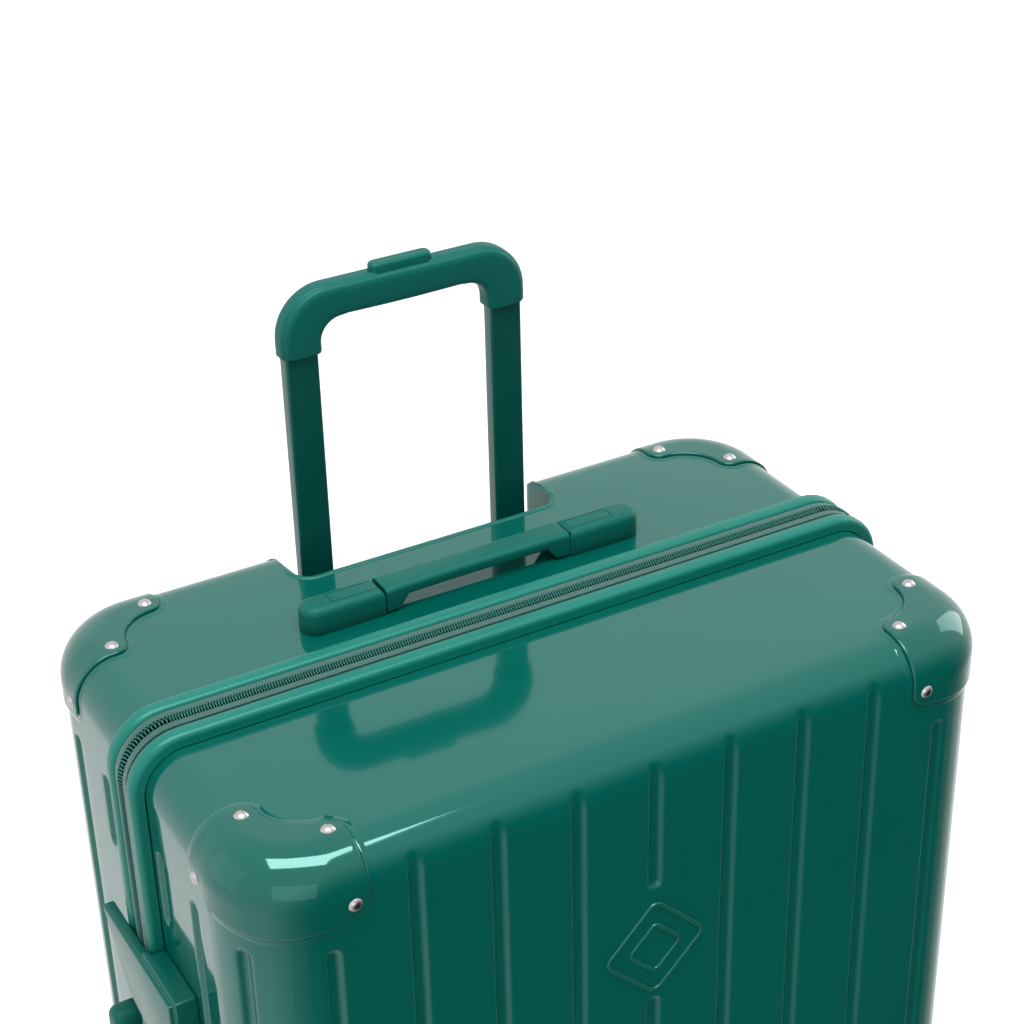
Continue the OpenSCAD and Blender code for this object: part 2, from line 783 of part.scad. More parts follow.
module dial_pocket(i) {
    translate([-(shell_w / 2 + foot_h - dial_d / 2), dial_y, dial_z - i * dial_pitch])
        cylinder(r = dial_d / 2 + dial_gap, h = dial_w + 2 * dial_gap, center = true);
}

module lock_dial(i) {
    color([0.85, 0.85, 0.82]) translate([-(shell_w / 2 + foot_h - dial_d / 2), dial_y, dial_z - i * dial_pitch])
        difference() {
            cylinder(r = dial_d / 2, h = dial_w, center = true);
            for (a = [0 : 36 : 324]) rotate([0, 0, a]) translate([dial_d / 2 + 0.4, 0, 0])
                cylinder(r = 1, h = dial_w + 1, center = true);
        }
}

module lock_slide() {
    color([0.1, 0.1, 0.1]) translate([-shell_w / 2 - foot_h, dial_y - slide_w / 2, slide_z - slide_l / 2])
        cube([foot_h - lock_h + slide_deep, slide_w, slide_l]);
}

module front_emblem() {
    color([0.0, 0.36, 0.32]) translate([0, -half_d, z_top - emblem_drop]) rotate([90, 45, 0])
        linear_extrude(emblem_t) for (s = [1, 0.55]) difference() {
            rounded_rect(s * 1.5 * emblem_r, s * 1.5 * emblem_r, 6 * s);
            rounded_rect(s * 1.5 * emblem_r - 5, s * 1.5 * emblem_r - 5, 6 * s - 2);
        }
}

// ---- Side feet on the right side ----

module side_foot(y, z) {
    translate([shell_w / 2, y, z_bottom + z]) rotate([0, 90, 0]) {
        cylinder(r = foot_r + 3, h = foot_base);
        cylinder(r = foot_r, h = foot_h);
    }
}

module side_feet(y, zs) {
    color([0.0, 0.25, 0.22]) for (z = zs) side_foot(y, z);
}

// ---- Inside ----

module front_lining() {
    color([0.25, 0.27, 0.28]) difference() {
        keep(-1, rim_y, half_d) case_wall(-lining_gap, -lining_gap - lining_t);
        boss_room(-1);
    }
}

module boss_room(sy) {
    for (c = CASTER) if (c[1] == sy)
        translate([c[0] * caster_x, sy * caster_y, z_bottom]) cylinder(r = boss_r + 2, h = 30);
}

module rear_lining() {
    color([0.25, 0.27, 0.28]) difference() {
        union() {
            keep(1, rim_y, false_floor) case_wall(-lining_gap, -lining_gap - lining_t);
            keep(1, false_floor - lining_t, false_floor) case_solid(-lining_gap);
        }
        boss_room(1);
        pan_space(pan_wall, 60);
    }
}

module divider_panel() {
    color([0.2, 0.22, 0.23]) front_half() translate([0, 0, rim_y + 3]) linear_extrude(1.5)
        rounded_rect(shell_w - 2 * (lining_gap + lining_t) - 2, shell_h - 2 * (lining_gap + lining_t) - 2,
            edge_r - lining_gap - lining_t);
}

// Two bands on the rear half's false floor, joined by a buckle
module packing_straps() {
    half = shell_w / 2 - plan_r + 20;
    color([0.1, 0.1, 0.1]) for (sx = [-1, 1])
        translate([sx > 0 ? buckle_half : -half, strap_y, z_mid - strap_w / 2])
            cube([half - buckle_half, strap_t, strap_w]);
}

module strap_buckle() {
    color([0.05, 0.05, 0.05]) translate([-buckle_half, strap_y + strap_t - buckle_t, z_mid - strap_w / 2 - 3])
        cube([2 * buckle_half, buckle_t, strap_w + 6]);
}

// ---- Casters ----

// A base that fits the rounded corner of the guard, with a boss for the swivel stem
module caster_plates(sy) {
    z0 = z_bottom - guard_t - plate_t;
    color([0.02, 0.22, 0.19]) for (c = CASTER) if (c[1] == sy) difference() {
        union() {
            difference() {
                at_caster(c, z0) linear_extrude(plate_t + 14) rounded_rect(2 * plate_half, 2 * plate_half, plate_r);
                case_solid(guard_t);
            }
            at_caster(c, z0) cylinder(r = boss_r - 0.1, h = plate_t + guard_t + shell_wall + stem_up);
        }
        at_caster(c, z0 - 1) cylinder(r = stem_d / 2 + running_clear, h = plate_t + guard_t + stem_up);
        for (sx = [-1, 1], sz = [-1, 1]) at_caster(c, z0 - 1) translate([sx, sz, 0] * (plate_half - 7))
            cylinder(r = screw_r + 0.2, h = screw_h + 1.2);
    }
}

module at_caster(c, z) {
    translate([c[0] * caster_x, c[1] * caster_y, z]) children();
}

module caster_screws(sy) {
    color("silver") for (c = CASTER) if (c[1] == sy)
        at_caster(c, z_bottom - guard_t - plate_t + 0.2) for (sx = [-1, 1], sz = [-1, 1])
            translate([sx, sz, 0] * (plate_half - 7)) cylinder(r = screw_r, h = screw_h);
}

// One fork about its swivel line: crown, stem, hood over the wheels, web and axle
module caster_fork(i) {
    c = CASTER[i];
    axle_z = wheel_d / 2;
    hood_r = wheel_d / 2 + hood_gap;
    color([0.02, 0.2, 0.17]) translate([c[0] * caster_x, c[1] * caster_y, 0]) {
        difference() {
            union() {
                translate([0, 0, crown_top - crown_t]) cylinder(r = crown_r, h = crown_t);
                cylinder_at(stem_d / 2, crown_top - 1, z_bottom - guard_t + stem_up - 6);
                intersection() {
                    translate([0, caster_trail, axle_z]) rotate([0, 90, 0]) difference() {
                        cylinder(r = hood_r + hood_t, h = 2 * axle_half, center = true);
                        cylinder(r = hood_r, h = 2 * axle_half + 2, center = true);
                    }
                    translate([-axle_half, caster_trail - 60, axle_z + 9]) cube([2 * axle_half, 120, crown_top - axle_z - 9.5]);
                }
                translate([-web_t / 2, 0, 0]) rotate([90, 0, 90]) linear_extrude(web_t) polygon([
                    [caster_trail - 9, axle_z], [-crown_r + 6, crown_top - crown_t + 1],
                    [crown_r + 4, crown_top - crown_t + 1], [caster_trail + 9, axle_z]]);
                translate([0, caster_trail, axle_z]) rotate([0, 90, 0]) cylinder(r = 9, h = web_t, center = true);
            }
        }
        translate([0, caster_trail, axle_z]) rotate([0, 90, 0]) {
            cylinder(r = axle_d / 2, h = 2 * axle_half, center = true);
            for (s = [-1, 1]) translate([0, 0, s * (axle_half + axle_cap_t / 2)])
                cylinder(r = axle_d / 2 + 2, h = axle_cap_t, center = true);
        }
    }
}

module cylinder_at(r, z0, z1) {
    translate([0, 0, z0]) cylinder(r = r, h = z1 - z0);
}

// One wheel: a hub with a rounded tread, turning on the axle at side s of the web
module wheel(i, s) {
    c = CASTER[i];
    r = wheel_d / 2;
    shoulder = 2.5;
    x = s * (web_t / 2 + wheel_gap + wheel_w / 2);
    color([0.03, 0.15, 0.13]) translate([c[0] * caster_x + x, c[1] * caster_y + caster_trail, r]) rotate([0, 90, 0])
        rotate_extrude() difference() {
            union() {
                translate([0, -wheel_w / 2]) square([r - shoulder, wheel_w]);
                translate([0, -wheel_w / 2 + shoulder]) square([r, wheel_w - 2 * shoulder]);
                for (e = [-1, 1]) translate([r - shoulder, e * (wheel_w / 2 - shoulder)]) circle(shoulder);
            }
            translate([-1, -wheel_w]) square([axle_d / 2 + running_clear + 1, 2 * wheel_w]);
            translate([9, wheel_w / 2 * s - (s > 0 ? 2 : 0)]) square([r - 15, 2]);
        }
}

// ---- Output: one node at a time, or all ----

rear_shell();
guards(1);  // rear_corner_guards
rivets(1);  // rear_rivets
rear_half() piping();  // rear_piping
rear_half() zipper_tape();  // rear_zipper_tape
rear_half() zipper_teeth();  // rear_zipper_teeth
rear_half() hinge_cloth();  // hinge_cloth_rear
rear_lining();
packing_straps();
strap_buckle();
handle_pan();
outer_tubes();
outer_tube_collars();
tube_foot();
on_top() carry_caps();  // top_handle_caps
on_left_side() carry_caps();  // side_handle_caps
side_feet(foot_rear_y, foot_rear_z);  // rear_side_feet
caster_plates(1);  // rear_caster_plates
caster_screws(1);  // rear_caster_screws
zipper_sliders();
front_shell();
guards(-1);  // front_corner_guards
rivets(-1);  // front_rivets
front_half() piping();  // front_piping
front_half() zipper_tape();  // front_zipper_tape
front_half() zipper_teeth();  // front_zipper_teeth
front_half() hinge_cloth();  // hinge_cloth_front
front_lining();
divider_panel();
lock_housing();
front_emblem();
side_feet(-foot_front_y, foot_front_z);  // front_side_feet
caster_plates(-1);  // front_caster_plates
caster_screws(-1);  // front_caster_screws
on_top() carry_bar_colour();  // top_handle_bar
on_left_side() carry_bar_colour();  // side_handle_bar
middle_tubes();
middle_tube_collars();
inner_tubes();
grip();
push_button();
lock_dial(0);  // lock_dial_1
lock_dial(1);  // lock_dial_2
lock_dial(2);  // lock_dial_3
lock_slide();
zipper_pull(slider_z[0]);  // zipper_pull_upper
zipper_pull(slider_z[1]);  // zipper_pull_lower
caster_fork(0);  // caster_fork_front_left
caster_fork(1);  // caster_fork_front_right
caster_fork(2);  // caster_fork_rear_left
caster_fork(3);  // caster_fork_rear_right
wheel(0, 1);  // wheel_front_left_inner
wheel(0, -1);  // wheel_front_left_outer
wheel(1, -1);  // wheel_front_right_inner
wheel(1, 1);  // wheel_front_right_outer
wheel(2, 1);  // wheel_rear_left_inner
wheel(2, -1);  // wheel_rear_left_outer
wheel(3, -1);  // wheel_rear_right_inner
wheel(3, 1);  // wheel_rear_right_outer
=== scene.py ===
"""Looks of a hard shell spinner suitcase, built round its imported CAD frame. Metres, +Z up, front at -Y."""
import json
import math

import bmesh
import bpy
import numpy as np
from mathutils import Matrix, Vector


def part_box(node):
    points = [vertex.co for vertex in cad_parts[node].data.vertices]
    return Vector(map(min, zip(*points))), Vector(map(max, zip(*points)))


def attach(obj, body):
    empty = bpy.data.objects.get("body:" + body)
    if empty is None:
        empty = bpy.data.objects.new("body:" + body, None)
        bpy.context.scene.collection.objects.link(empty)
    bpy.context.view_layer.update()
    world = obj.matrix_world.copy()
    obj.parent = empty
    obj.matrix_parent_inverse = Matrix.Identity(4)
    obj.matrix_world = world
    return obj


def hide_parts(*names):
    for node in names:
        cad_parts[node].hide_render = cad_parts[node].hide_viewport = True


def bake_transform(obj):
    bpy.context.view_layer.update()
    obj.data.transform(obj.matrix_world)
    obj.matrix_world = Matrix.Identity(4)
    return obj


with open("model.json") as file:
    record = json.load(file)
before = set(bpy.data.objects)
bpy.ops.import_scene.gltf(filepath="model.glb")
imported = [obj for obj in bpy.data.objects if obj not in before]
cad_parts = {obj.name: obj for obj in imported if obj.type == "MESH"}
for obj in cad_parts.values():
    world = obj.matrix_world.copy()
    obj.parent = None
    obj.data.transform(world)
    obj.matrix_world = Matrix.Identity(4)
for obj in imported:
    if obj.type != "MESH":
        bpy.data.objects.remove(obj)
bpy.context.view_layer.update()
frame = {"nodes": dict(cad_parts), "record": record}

nodes = frame["nodes"]
mm = 0.001

# --- Studio -------------------------------------------------------------------------------------
# A pale floor under soft overhead and side lamps. The room is bright behind and above the case and
# dim in front of it, so that the top shines and the front face keeps its deep colour.

shell_low, shell_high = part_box("front_shell")
half_w, half_d, rim = shell_high.x, -shell_low.y, -shell_high.y
z_bottom, z_top = shell_low.z, shell_high.z
z_mid = (z_bottom + z_top) / 2
azimuth, elevation, roll = math.radians(-28.08), math.radians(30.17), math.radians(-1.89)
camera = bpy.data.objects.new("camera", bpy.data.cameras.new("camera"))
bpy.context.scene.collection.objects.link(camera)
camera.data.sensor_width = 36.0
camera.data.lens = 77.74
camera.data.shift_x = 0.0292
camera.data.shift_y = 0.0151
camera.data.clip_start = 0.05
camera.data.clip_end = 60.0
back = Vector((math.sin(azimuth) * math.cos(elevation), -math.cos(azimuth) * math.cos(elevation),
               math.sin(elevation)))
camera.rotation_mode = "QUATERNION"
camera.rotation_quaternion = ((-back).to_track_quat("-Z", "Y")
                              @ Matrix.Rotation(roll, 3, "Z").to_quaternion())
camera.location = Vector((-0.5475, -0.9874, 0.7195)) + Vector((0, 0, z_top))
bpy.context.scene.camera = camera
bpy.context.scene.view_settings.view_transform = "Standard"

floor_mesh = bpy.data.meshes.new("floor")
floor_mesh.from_pydata([(-9, -9, 0), (9, -9, 0), (9, 9, 0), (-9, 9, 0)], [], [(0, 1, 2, 3)])
floor = bpy.data.objects.new("floor", floor_mesh)
bpy.context.scene.collection.objects.link(floor)
floor.visible_glossy = False
floor_paint = bpy.data.materials.new("pale_floor")
floor_paint.use_nodes = True
floor_paint.node_tree.nodes["Principled BSDF"].inputs["Base Color"].default_value = (0.95, 0.95, 0.95, 1)
floor_paint.node_tree.nodes["Principled BSDF"].inputs["Roughness"].default_value = 0.7
floor_mesh.materials.append(floor_paint)


def softbox(name, place, aim, size, watts):
    """A rectangular lamp with an even face, aimed at a point."""
    lamp = bpy.data.lights.new(name, "AREA")
    lamp.shape = "RECTANGLE"
    lamp.size, lamp.size_y = size
    lamp.energy = watts
    obj = bpy.data.objects.new(name, lamp)
    obj.location = place
    obj.rotation_mode = "QUATERNION"
    obj.rotation_quaternion = (Vector(aim) - Vector(place)).to_track_quat("-Z", "Y")
    obj.visible_camera = False
    bpy.context.scene.collection.objects.link(obj)


softbox("overhead", (-0.3, -0.6, 3.3), (0, 0, 0.6), (2.2, 1.0), 85)
softbox("left_wall", (-3.0, 0.9, 1.5), (0, 0, 0.5), (2.2, 2.6), 5)
softbox("right_wall", (3.0, 0.4, 1.8), (0, 0, 0.5), (1.2, 2.2), 20)
softbox("front_wide", (-1.8, -3.2, 1.6), (0, 0, 0.5), (3.0, 2.0), 14)

world = bpy.data.worlds.new("studio")
bpy.context.scene.world = world
world.use_nodes = True
sky = world.node_tree
coord = sky.nodes.new("ShaderNodeTexCoord")
toward = sky.nodes.new("ShaderNodeVectorMath")
toward.operation = "DOT_PRODUCT"
toward.inputs[1].default_value = (0.411, -0.762, -0.501)
sky.links.new(coord.outputs["Generated"], toward.inputs[0])
shade = sky.nodes.new("ShaderNodeMapRange")
shade.interpolation_type = "SMOOTHSTEP"
for slot_name, value in (("From Min", 0.22), ("From Max", 0.92), ("To Min", 1.0), ("To Max", 0.03)):
    shade.inputs[slot_name].default_value = value
sky.links.new(toward.outputs["Value"], shade.inputs["Value"])
sky.links.new(shade.outputs["Result"], sky.nodes["Background"].inputs["Color"])
sky.nodes["Background"].inputs["Strength"].default_value = 1.06

# --- Half shells --------------------------------------------------------------------------------
# Each half is one vacuum-formed tray of gloss polycarbonate, 2 mm thick, with upright grooves
# pressed into its faces. The upright corners are wide, the top and bottom edges tighter.

plan_r, edge_r, wall = 54 * mm, 26 * mm, 2 * mm
groove_w, groove_deep, groove_pitch = 9 * mm, 3.2 * mm, 50.4 * mm
groove_r = (groove_w ** 2 / 4 + groove_deep ** 2) / (2 * groove_deep)
flat_x = half_w - plan_r
bend = plan_r * math.pi / 2
side_len = half_d - plan_r - rim


def around(s):
    """Plan points at the distances s round a half from the middle of its face: x, depth and normal."""
    a, sign = np.abs(s), np.where(s < 0, -1.0, 1.0)
    angle = np.clip((a - flat_x) / plan_r, 0, math.pi / 2)
    x = np.where(a < flat_x, a, flat_x + plan_r * np.sin(angle))
    depth = half_d - plan_r + plan_r * np.cos(angle) - np.clip(a - flat_x - bend, 0, None)
    return sign * x, depth, sign * np.sin(angle), np.cos(angle)


def side_station(depth):
    """Distance round the half of a line on its side at that depth."""
    return flat_x + bend + half_d - plan_r - depth


def groove(s, drop_high, drop_low=None, high=None, low=None):
    """One groove: where it stands and the ends of its centre line."""
    top = z_top - drop_high - groove_r if high is None else high
    end = z_bottom + (drop_high if drop_low is None else drop_low) + groove_r if low is None else low
    return (s, end, top)


near, far = 10 * mm, 56 * mm
front_grooves = [groove(sx * k * groove_pitch, near if k < 4 else far)
                 for k in range(1, 8) for sx in (-1, 1) if k < 7 or sx > 0]
front_grooves += [groove(0, near, low=z_top - 99 * mm + groove_r), groove(0, near, high=z_top - 186 * mm),
                  groove(-7 * groove_pitch, far, low=z_top - 107 * mm + groove_r),
                  groove(-7 * groove_pitch, far, high=z_top - 278 * mm - groove_r)]
rear_grooves = [groove(sx * k * groove_pitch, near if k < 4 else far) for k in range(1, 6) for sx in (-1, 1)]
rear_grooves += [groove(0, near), groove(side_station(52.4 * mm), far), groove(side_station(100 * mm), far),
                 groove(-side_station(100 * mm), far),
                 groove(-side_station(52.4 * mm), far, low=z_top - 107 * mm + groove_r),
                 groove(-side_station(52.4 * mm), far, high=z_mid - 130 * mm - groove_r)]


def skin_distance(p):
    """Signed distance of points to the skin of the whole case."""
    qx, qy = np.abs(p[..., 0]) - flat_x, np.abs(p[..., 1]) - (half_d - plan_r)
    plan = np.hypot(np.maximum(qx, 0), np.maximum(qy, 0)) + np.minimum(np.maximum(qx, qy), 0) - plan_r
    a, b = plan + edge_r, np.abs(p[..., 2] - z_mid) - (z_top - z_mid) + edge_r
    return np.hypot(np.maximum(a, 0), np.maximum(b, 0)) + np.minimum(np.maximum(a, b), 0) - edge_r


def pressed(points, normals, grooves, lip=2.2 * mm):
    """How far each skin point is pressed in, with the grooves' lips rounded."""
    axes = []
    for s, low, high in grooves:
        x, depth, nx, nd = around(np.array([s]))
        lift = groove_r - groove_deep
        axes.append((x[0] + nx[0] * lift, depth[0] + nd[0] * lift, low, high))
    inner, outer = np.zeros(points.shape[:-1]), np.full(points.shape[:-1], 5 * mm)
    for _ in range(15):
        t = (inner + outer) / 2
        p = points - normals * t[..., None]
        clear = np.full(t.shape, 1.0)
        for ax, ay, low, high in axes:
            dz = np.maximum(np.maximum(p[..., 2] - high, low - p[..., 2]), 0)
            clear = np.minimum(clear, np.sqrt((p[..., 0] - ax) ** 2 + (p[..., 1] - ay) ** 2 + dz ** 2))
        a, b = skin_distance(p), groove_r - clear
        field = np.maximum(a, b) + np.maximum(lip - np.abs(a - b), 0) ** 2 / (4 * lip)
        inner, outer = np.where(field > 0, t, inner), np.where(field > 0, outer, t)
    return np.where(outer < 0.01 * mm, 0, (inner + outer) / 2)


def spaced(values, gap):
    """Sorted values with any that crowd their neighbour left out."""
    kept = []
    for v in sorted(values):
        if not kept or v - kept[-1] > gap:
            kept.append(v)
    return np.array(kept)


def grid_faces(rows, cols, wrap_rows, wrap_cols, start):
    """Quads of a grid of points, as vertex numbers."""
    r, c = np.meshgrid(np.arange(rows if wrap_rows else rows - 1),
                       np.arange(cols if wrap_cols else cols - 1), indexing="ij")
    r, c = r.ravel(), c.ravel()
    r1, c1 = (r + 1) % rows, (c + 1) % cols
    return (start + np.stack([r * cols + c, r * cols + c1, r1 * cols + c1, r1 * cols + c], 1)).tolist()


def build(name, grids, extra_faces=(), closed=True, crease=35):
    """A smooth mesh object from grids of points: (points, wrap rows, wrap columns, cap the ends).
    Its attribute 'run' holds the metres across and along each grid."""
    points, faces, runs, start = [], [], [], 0
    for pts, wrap_rows, wrap_cols, capped in grids:
        rows, cols = pts.shape[:2]
        points.append(pts.reshape(-1, 3))
        across = np.concatenate([[0], np.cumsum(np.linalg.norm(np.diff(pts[rows // 2], axis=0), axis=1))])
        along = np.concatenate([[0], np.cumsum(np.linalg.norm(np.diff(pts[:, cols // 2], axis=0), axis=1))])
        run = np.zeros((rows, cols, 3))
        run[..., 0], run[..., 1] = across[None, :], along[:, None]
        runs.append(run.reshape(-1, 3))
        faces += grid_faces(rows, cols, wrap_rows, wrap_cols, start)
        if capped:
            faces.append(list(range(start, start + cols)))
            faces.append(list(range(start + (rows - 1) * cols, start + rows * cols)))
        start += rows * cols
    mesh = bpy.data.meshes.new(name)
    mesh.from_pydata(np.concatenate(points).tolist(), [], faces + [list(f) for f in extra_faces])
    run = mesh.attributes.new("run", "FLOAT_VECTOR", "POINT")
    run.data.foreach_set("vector", np.concatenate(runs).astype(np.float32).ravel())
    settle(mesh, closed, crease)
    obj = bpy.data.objects.new(name, mesh)
    bpy.context.scene.collection.objects.link(obj)
    return obj


def settle(mesh, closed=True, crease=35):
    """Merges doubled points, turns the faces outwards and shades smooth up to the crease angle."""
    work = bmesh.new()
    work.from_mesh(mesh)
    bmesh.ops.remove_doubles(work, verts=work.verts, dist=1e-6)
    bmesh.ops.dissolve_degenerate(work, edges=work.edges, dist=1e-7)
    if closed:
        bmesh.ops.recalc_face_normals(work, faces=work.faces)
    work.to_mesh(mesh)
    work.free()
    mesh.shade_smooth()
    mesh.set_sharp_from_angle(angle=math.radians(crease))


def applied(obj):
    """The object with its modifiers made real."""
    bpy.context.view_layer.update()
    mesh = bpy.data.meshes.new_from_object(obj.evaluated_get(bpy.context.evaluated_depsgraph_get()))
    obj.modifiers.clear()
    obj.data = mesh
    return obj


def cut(obj, *tools):
    """Takes closed solids away from an object."""
    for tool in tools:
        mod = obj.modifiers.new("cut", "BOOLEAN")
        mod.operation, mod.solver, mod.object = "DIFFERENCE", "EXACT", tool
        applied(obj)
        bpy.data.objects.remove(tool)
    return obj


def shell_columns(grooves):
    reach = side_len + flat_x + bend
    s = [k * reach / 40 for k in range(-40, 41)]
    s += [sign * (flat_x + bend * k / 18) for k in range(19) for sign in (-1, 1)]
    dense = [g[0] + k * 0.75 * mm for g in grooves for k in range(-9, 10)]
    others = [v for v in s if all(abs(v - g[0]) > 7.3 * mm for g in grooves) and abs(v) < reach - 0.4 * mm]
    return np.concatenate([[-reach], spaced(others + dense, 0.3 * mm), [reach]])


def shell_rows(grooves):
    """Section of the wall from the top plate's edge to the bottom's: inset, z and normal."""
    arc = np.radians(np.linspace(90, 0, 15))
    ends = sorted({round(v, 5) for g in grooves for v in g[1:]})
    z = [z_bottom + edge_r + k * (z_top - z_bottom - 2 * edge_r) / 24 for k in range(25)]
    dense = [e + k * 0.9 * mm for e in ends for k in range(-8, 9)]
    z = spaced([v for v in z if all(abs(v - e) > 7.5 * mm for e in ends)]
               + [v for v in dense if z_bottom + edge_r < v < z_top - edge_r], 0.5 * mm)[::-1]
    extra = [math.asin(min(1, (v - z_top + edge_r) / edge_r))
             for v in dense if z_top - edge_r <= v < z_top - mm]
    arc = spaced(list(arc) + extra, 0.025)[::-1]
    arc[0] = math.pi / 2
    inset = np.concatenate([edge_r * (1 - np.cos(arc)), np.zeros(len(z)), edge_r * (1 - np.cos(arc[::-1]))])
    height = np.concatenate([z_top - edge_r + edge_r * np.sin(arc), z,
                             z_bottom + edge_r - edge_r * np.sin(arc[::-1])])
    up = np.concatenate([np.sin(arc), np.zeros(len(z)), -np.sin(arc[::-1])])
    return inset, height, up


def half_tray(name, sy, grooves, skin=0.0, thick=wall):
    """A half shell as outer and inner skins, closed round its rim. sy is -1 for the front half."""
    s = shell_columns(grooves)
    inset, height, up = shell_rows(grooves)
    x, depth, nx, nd = around(s)
    out = np.sqrt(1 - up ** 2)
    points = np.stack([x[None] - nx[None] * inset[:, None], depth[None] - nd[None] * inset[:, None],
                       np.repeat(height[:, None], len(s), 1)], -1)
    normals = np.stack([nx[None] * out[:, None], nd[None] * out[:, None],
                        np.repeat(up[:, None], len(s), 1)], -1)
    push = pressed(points, normals, grooves) if grooves else np.zeros(points.shape[:2])
    outer = points - normals * (push - skin)[..., None]
    inner = points - normals * (push - skin + thick)[..., None]
    for skin_points in (outer, inner):
        skin_points[..., 1] = sy * np.maximum(skin_points[..., 1], rim)
    rows, cols = push.shape
    count = rows * cols
    ends = []
    for first in (0, (rows - 1) * cols):
        ends.append(list(range(first, first + cols)))
        ends.append(list(range(count + first, count + first + cols)))
        ends.append([first, first + cols - 1, count + first + cols - 1, count + first])
    for col in (0, cols - 1):
        ends += [[r * cols + col, (r + 1) * cols + col, count + (r + 1) * cols + col, count + r * cols + col]
                 for r in range(rows - 1)]
    return build(name, [(outer, False, False, False), (inner, False, False, False)], ends, crease=40)


def prism(name, outline, low, high):
    """A closed upright solid with that plan outline, for cutting."""
    ring = np.array([[p[0], p[1]] for p in outline])
    rows = np.stack([np.column_stack([ring, np.full(len(ring), z)]) for z in (low, high)])
    return build(name, [(rows, False, True, True)])


def arc_points(cx, cy, r, a0, a1, count):
    """Points round part of a circle, angles in degrees."""
    return [(cx + r * math.cos(math.radians(a0 + (a1 - a0) * k / count)),
             cy + r * math.sin(math.radians(a0 + (a1 - a0) * k / count))) for k in range(count + 1)]


def new_group(name, inputs, outputs):
    """An empty shader group with float inputs and outputs; returns its tree, inputs and outputs."""
    tree = bpy.data.node_groups.new(name, "ShaderNodeTree")
    for label, value in inputs:
        tree.interface.new_socket(label, in_out="INPUT", socket_type="NodeSocketFloat").default_value = value
    for label, kind in outputs:
        tree.interface.new_socket(label, in_out="OUTPUT", socket_type="NodeSocket" + kind)
    return tree, tree.nodes.new("NodeGroupInput"), tree.nodes.new("NodeGroupOutput")


def maths(tree, operation, first, second=None, third=None):
    """A Math node; numbers are set and sockets linked."""
    node = tree.nodes.new("ShaderNodeMath")
    node.operation = operation
    for slot_number, value in enumerate((first, second, third)):
        if isinstance(value, (int, float)):
            node.inputs[slot_number].default_value = value
        elif value is not None:
            tree.links.new(value, node.inputs[slot_number])
    return node.outputs[0]


def noise(tree, scale, detail=3.0, vector=None):
    """A Noise node on Object coordinates, or on the vector given; scale may be a socket."""
    node = tree.nodes.new("ShaderNodeTexNoise")
    node.inputs["Detail"].default_value = detail
    if isinstance(scale, (int, float)):
        node.inputs["Scale"].default_value = scale
    else:
        tree.links.new(scale, node.inputs["Scale"])
    if vector is None:
        vector = tree.nodes.new("ShaderNodeTexCoord").outputs["Object"]
    tree.links.new(vector, node.inputs["Vector"])
    return node.outputs["Fac"]


# Faint handling marks of a glossy moulding: soft dull patches, hairline scuffs and a very slight
# ripple of the skin.
handling, g_in, g_out = new_group("handling_marks", [("Dullness", 0.05), ("Scuffs", 0.1), ("Ripple", 1.0)],
                                  [("Roughness", "Float"), ("Height", "Float")])
patches = maths(handling, "POWER", noise(handling, 9.0, 4.0), 3.0)
stretched = handling.nodes.new("ShaderNodeMapping")
stretched.inputs["Rotation"].default_value = (0.4, 0.7, 0.3)
stretched.inputs["Scale"].default_value = (30, 420, 60)
handling.links.new(handling.nodes.new("ShaderNodeTexCoord").outputs["Object"], stretched.inputs["Vector"])
hairs = maths(handling, "GREATER_THAN", noise(handling, 1.0, 2.0, stretched.outputs[0]), 0.70)
rubbed = maths(handling, "MULTIPLY", hairs, maths(handling, "GREATER_THAN", noise(handling, 3.0, 2.0), 0.55))
dull = maths(handling, "MULTIPLY_ADD", patches, g_in.outputs["Dullness"],
             maths(handling, "MULTIPLY", rubbed, g_in.outputs["Scuffs"]))
handling.links.new(dull, g_out.inputs["Roughness"])
handling.links.new(maths(handling, "MULTIPLY", noise(handling, 14.0, 1.0), g_in.outputs["Ripple"]),
                   g_out.inputs["Height"])

# Fine pebble of a satin moulding or powder coat.
pebble, g_in, g_out = new_group("moulded_pebble", [("Size", 900.0), ("Variation", 0.1)],
                                [("Height", "Float"), ("Roughness", "Float")])
cells = pebble.nodes.new("ShaderNodeTexVoronoi")
pebble.links.new(pebble.nodes.new("ShaderNodeTexCoord").outputs["Object"], cells.inputs["Vector"])
pebble.links.new(g_in.outputs["Size"], cells.inputs["Scale"])
pebble.links.new(maths(pebble, "ADD", cells.outputs["Distance"], noise(pebble, g_in.outputs["Size"], 2.0)),
                 g_out.inputs["Height"])
pebble.links.new(maths(pebble, "MULTIPLY", noise(pebble, 25.0, 4.0), g_in.outputs["Variation"]),
                 g_out.inputs["Roughness"])

# Plain weave along a strip or a face, from its own run attribute in metres.
weave, g_in, g_out = new_group("plain_weave", [("Threads per metre", 1400.0)],
                               [("Height", "Float"), ("Shade", "Float")])
run_at = weave.nodes.new("ShaderNodeAttribute")
run_at.attribute_name = "run"
run_xyz = weave.nodes.new("ShaderNodeSeparateXYZ")
weave.links.new(run_at.outputs["Vector"], run_xyz.inputs[0])
turn = maths(weave, "MULTIPLY", g_in.outputs["Threads per metre"], math.pi)
warp = maths(weave, "SINE", maths(weave, "MULTIPLY", run_xyz.outputs["X"], turn))
weft = maths(weave, "SINE", maths(weave, "MULTIPLY", run_xyz.outputs["Y"], turn))
over = maths(weave, "MULTIPLY", warp, weft)
weave.links.new(maths(weave, "ABSOLUTE", over), g_out.inputs["Height"])
weave.links.new(maths(weave, "MULTIPLY_ADD", maths(weave, "SIGN", over), 0.12, 1.0), g_out.inputs["Shade"])


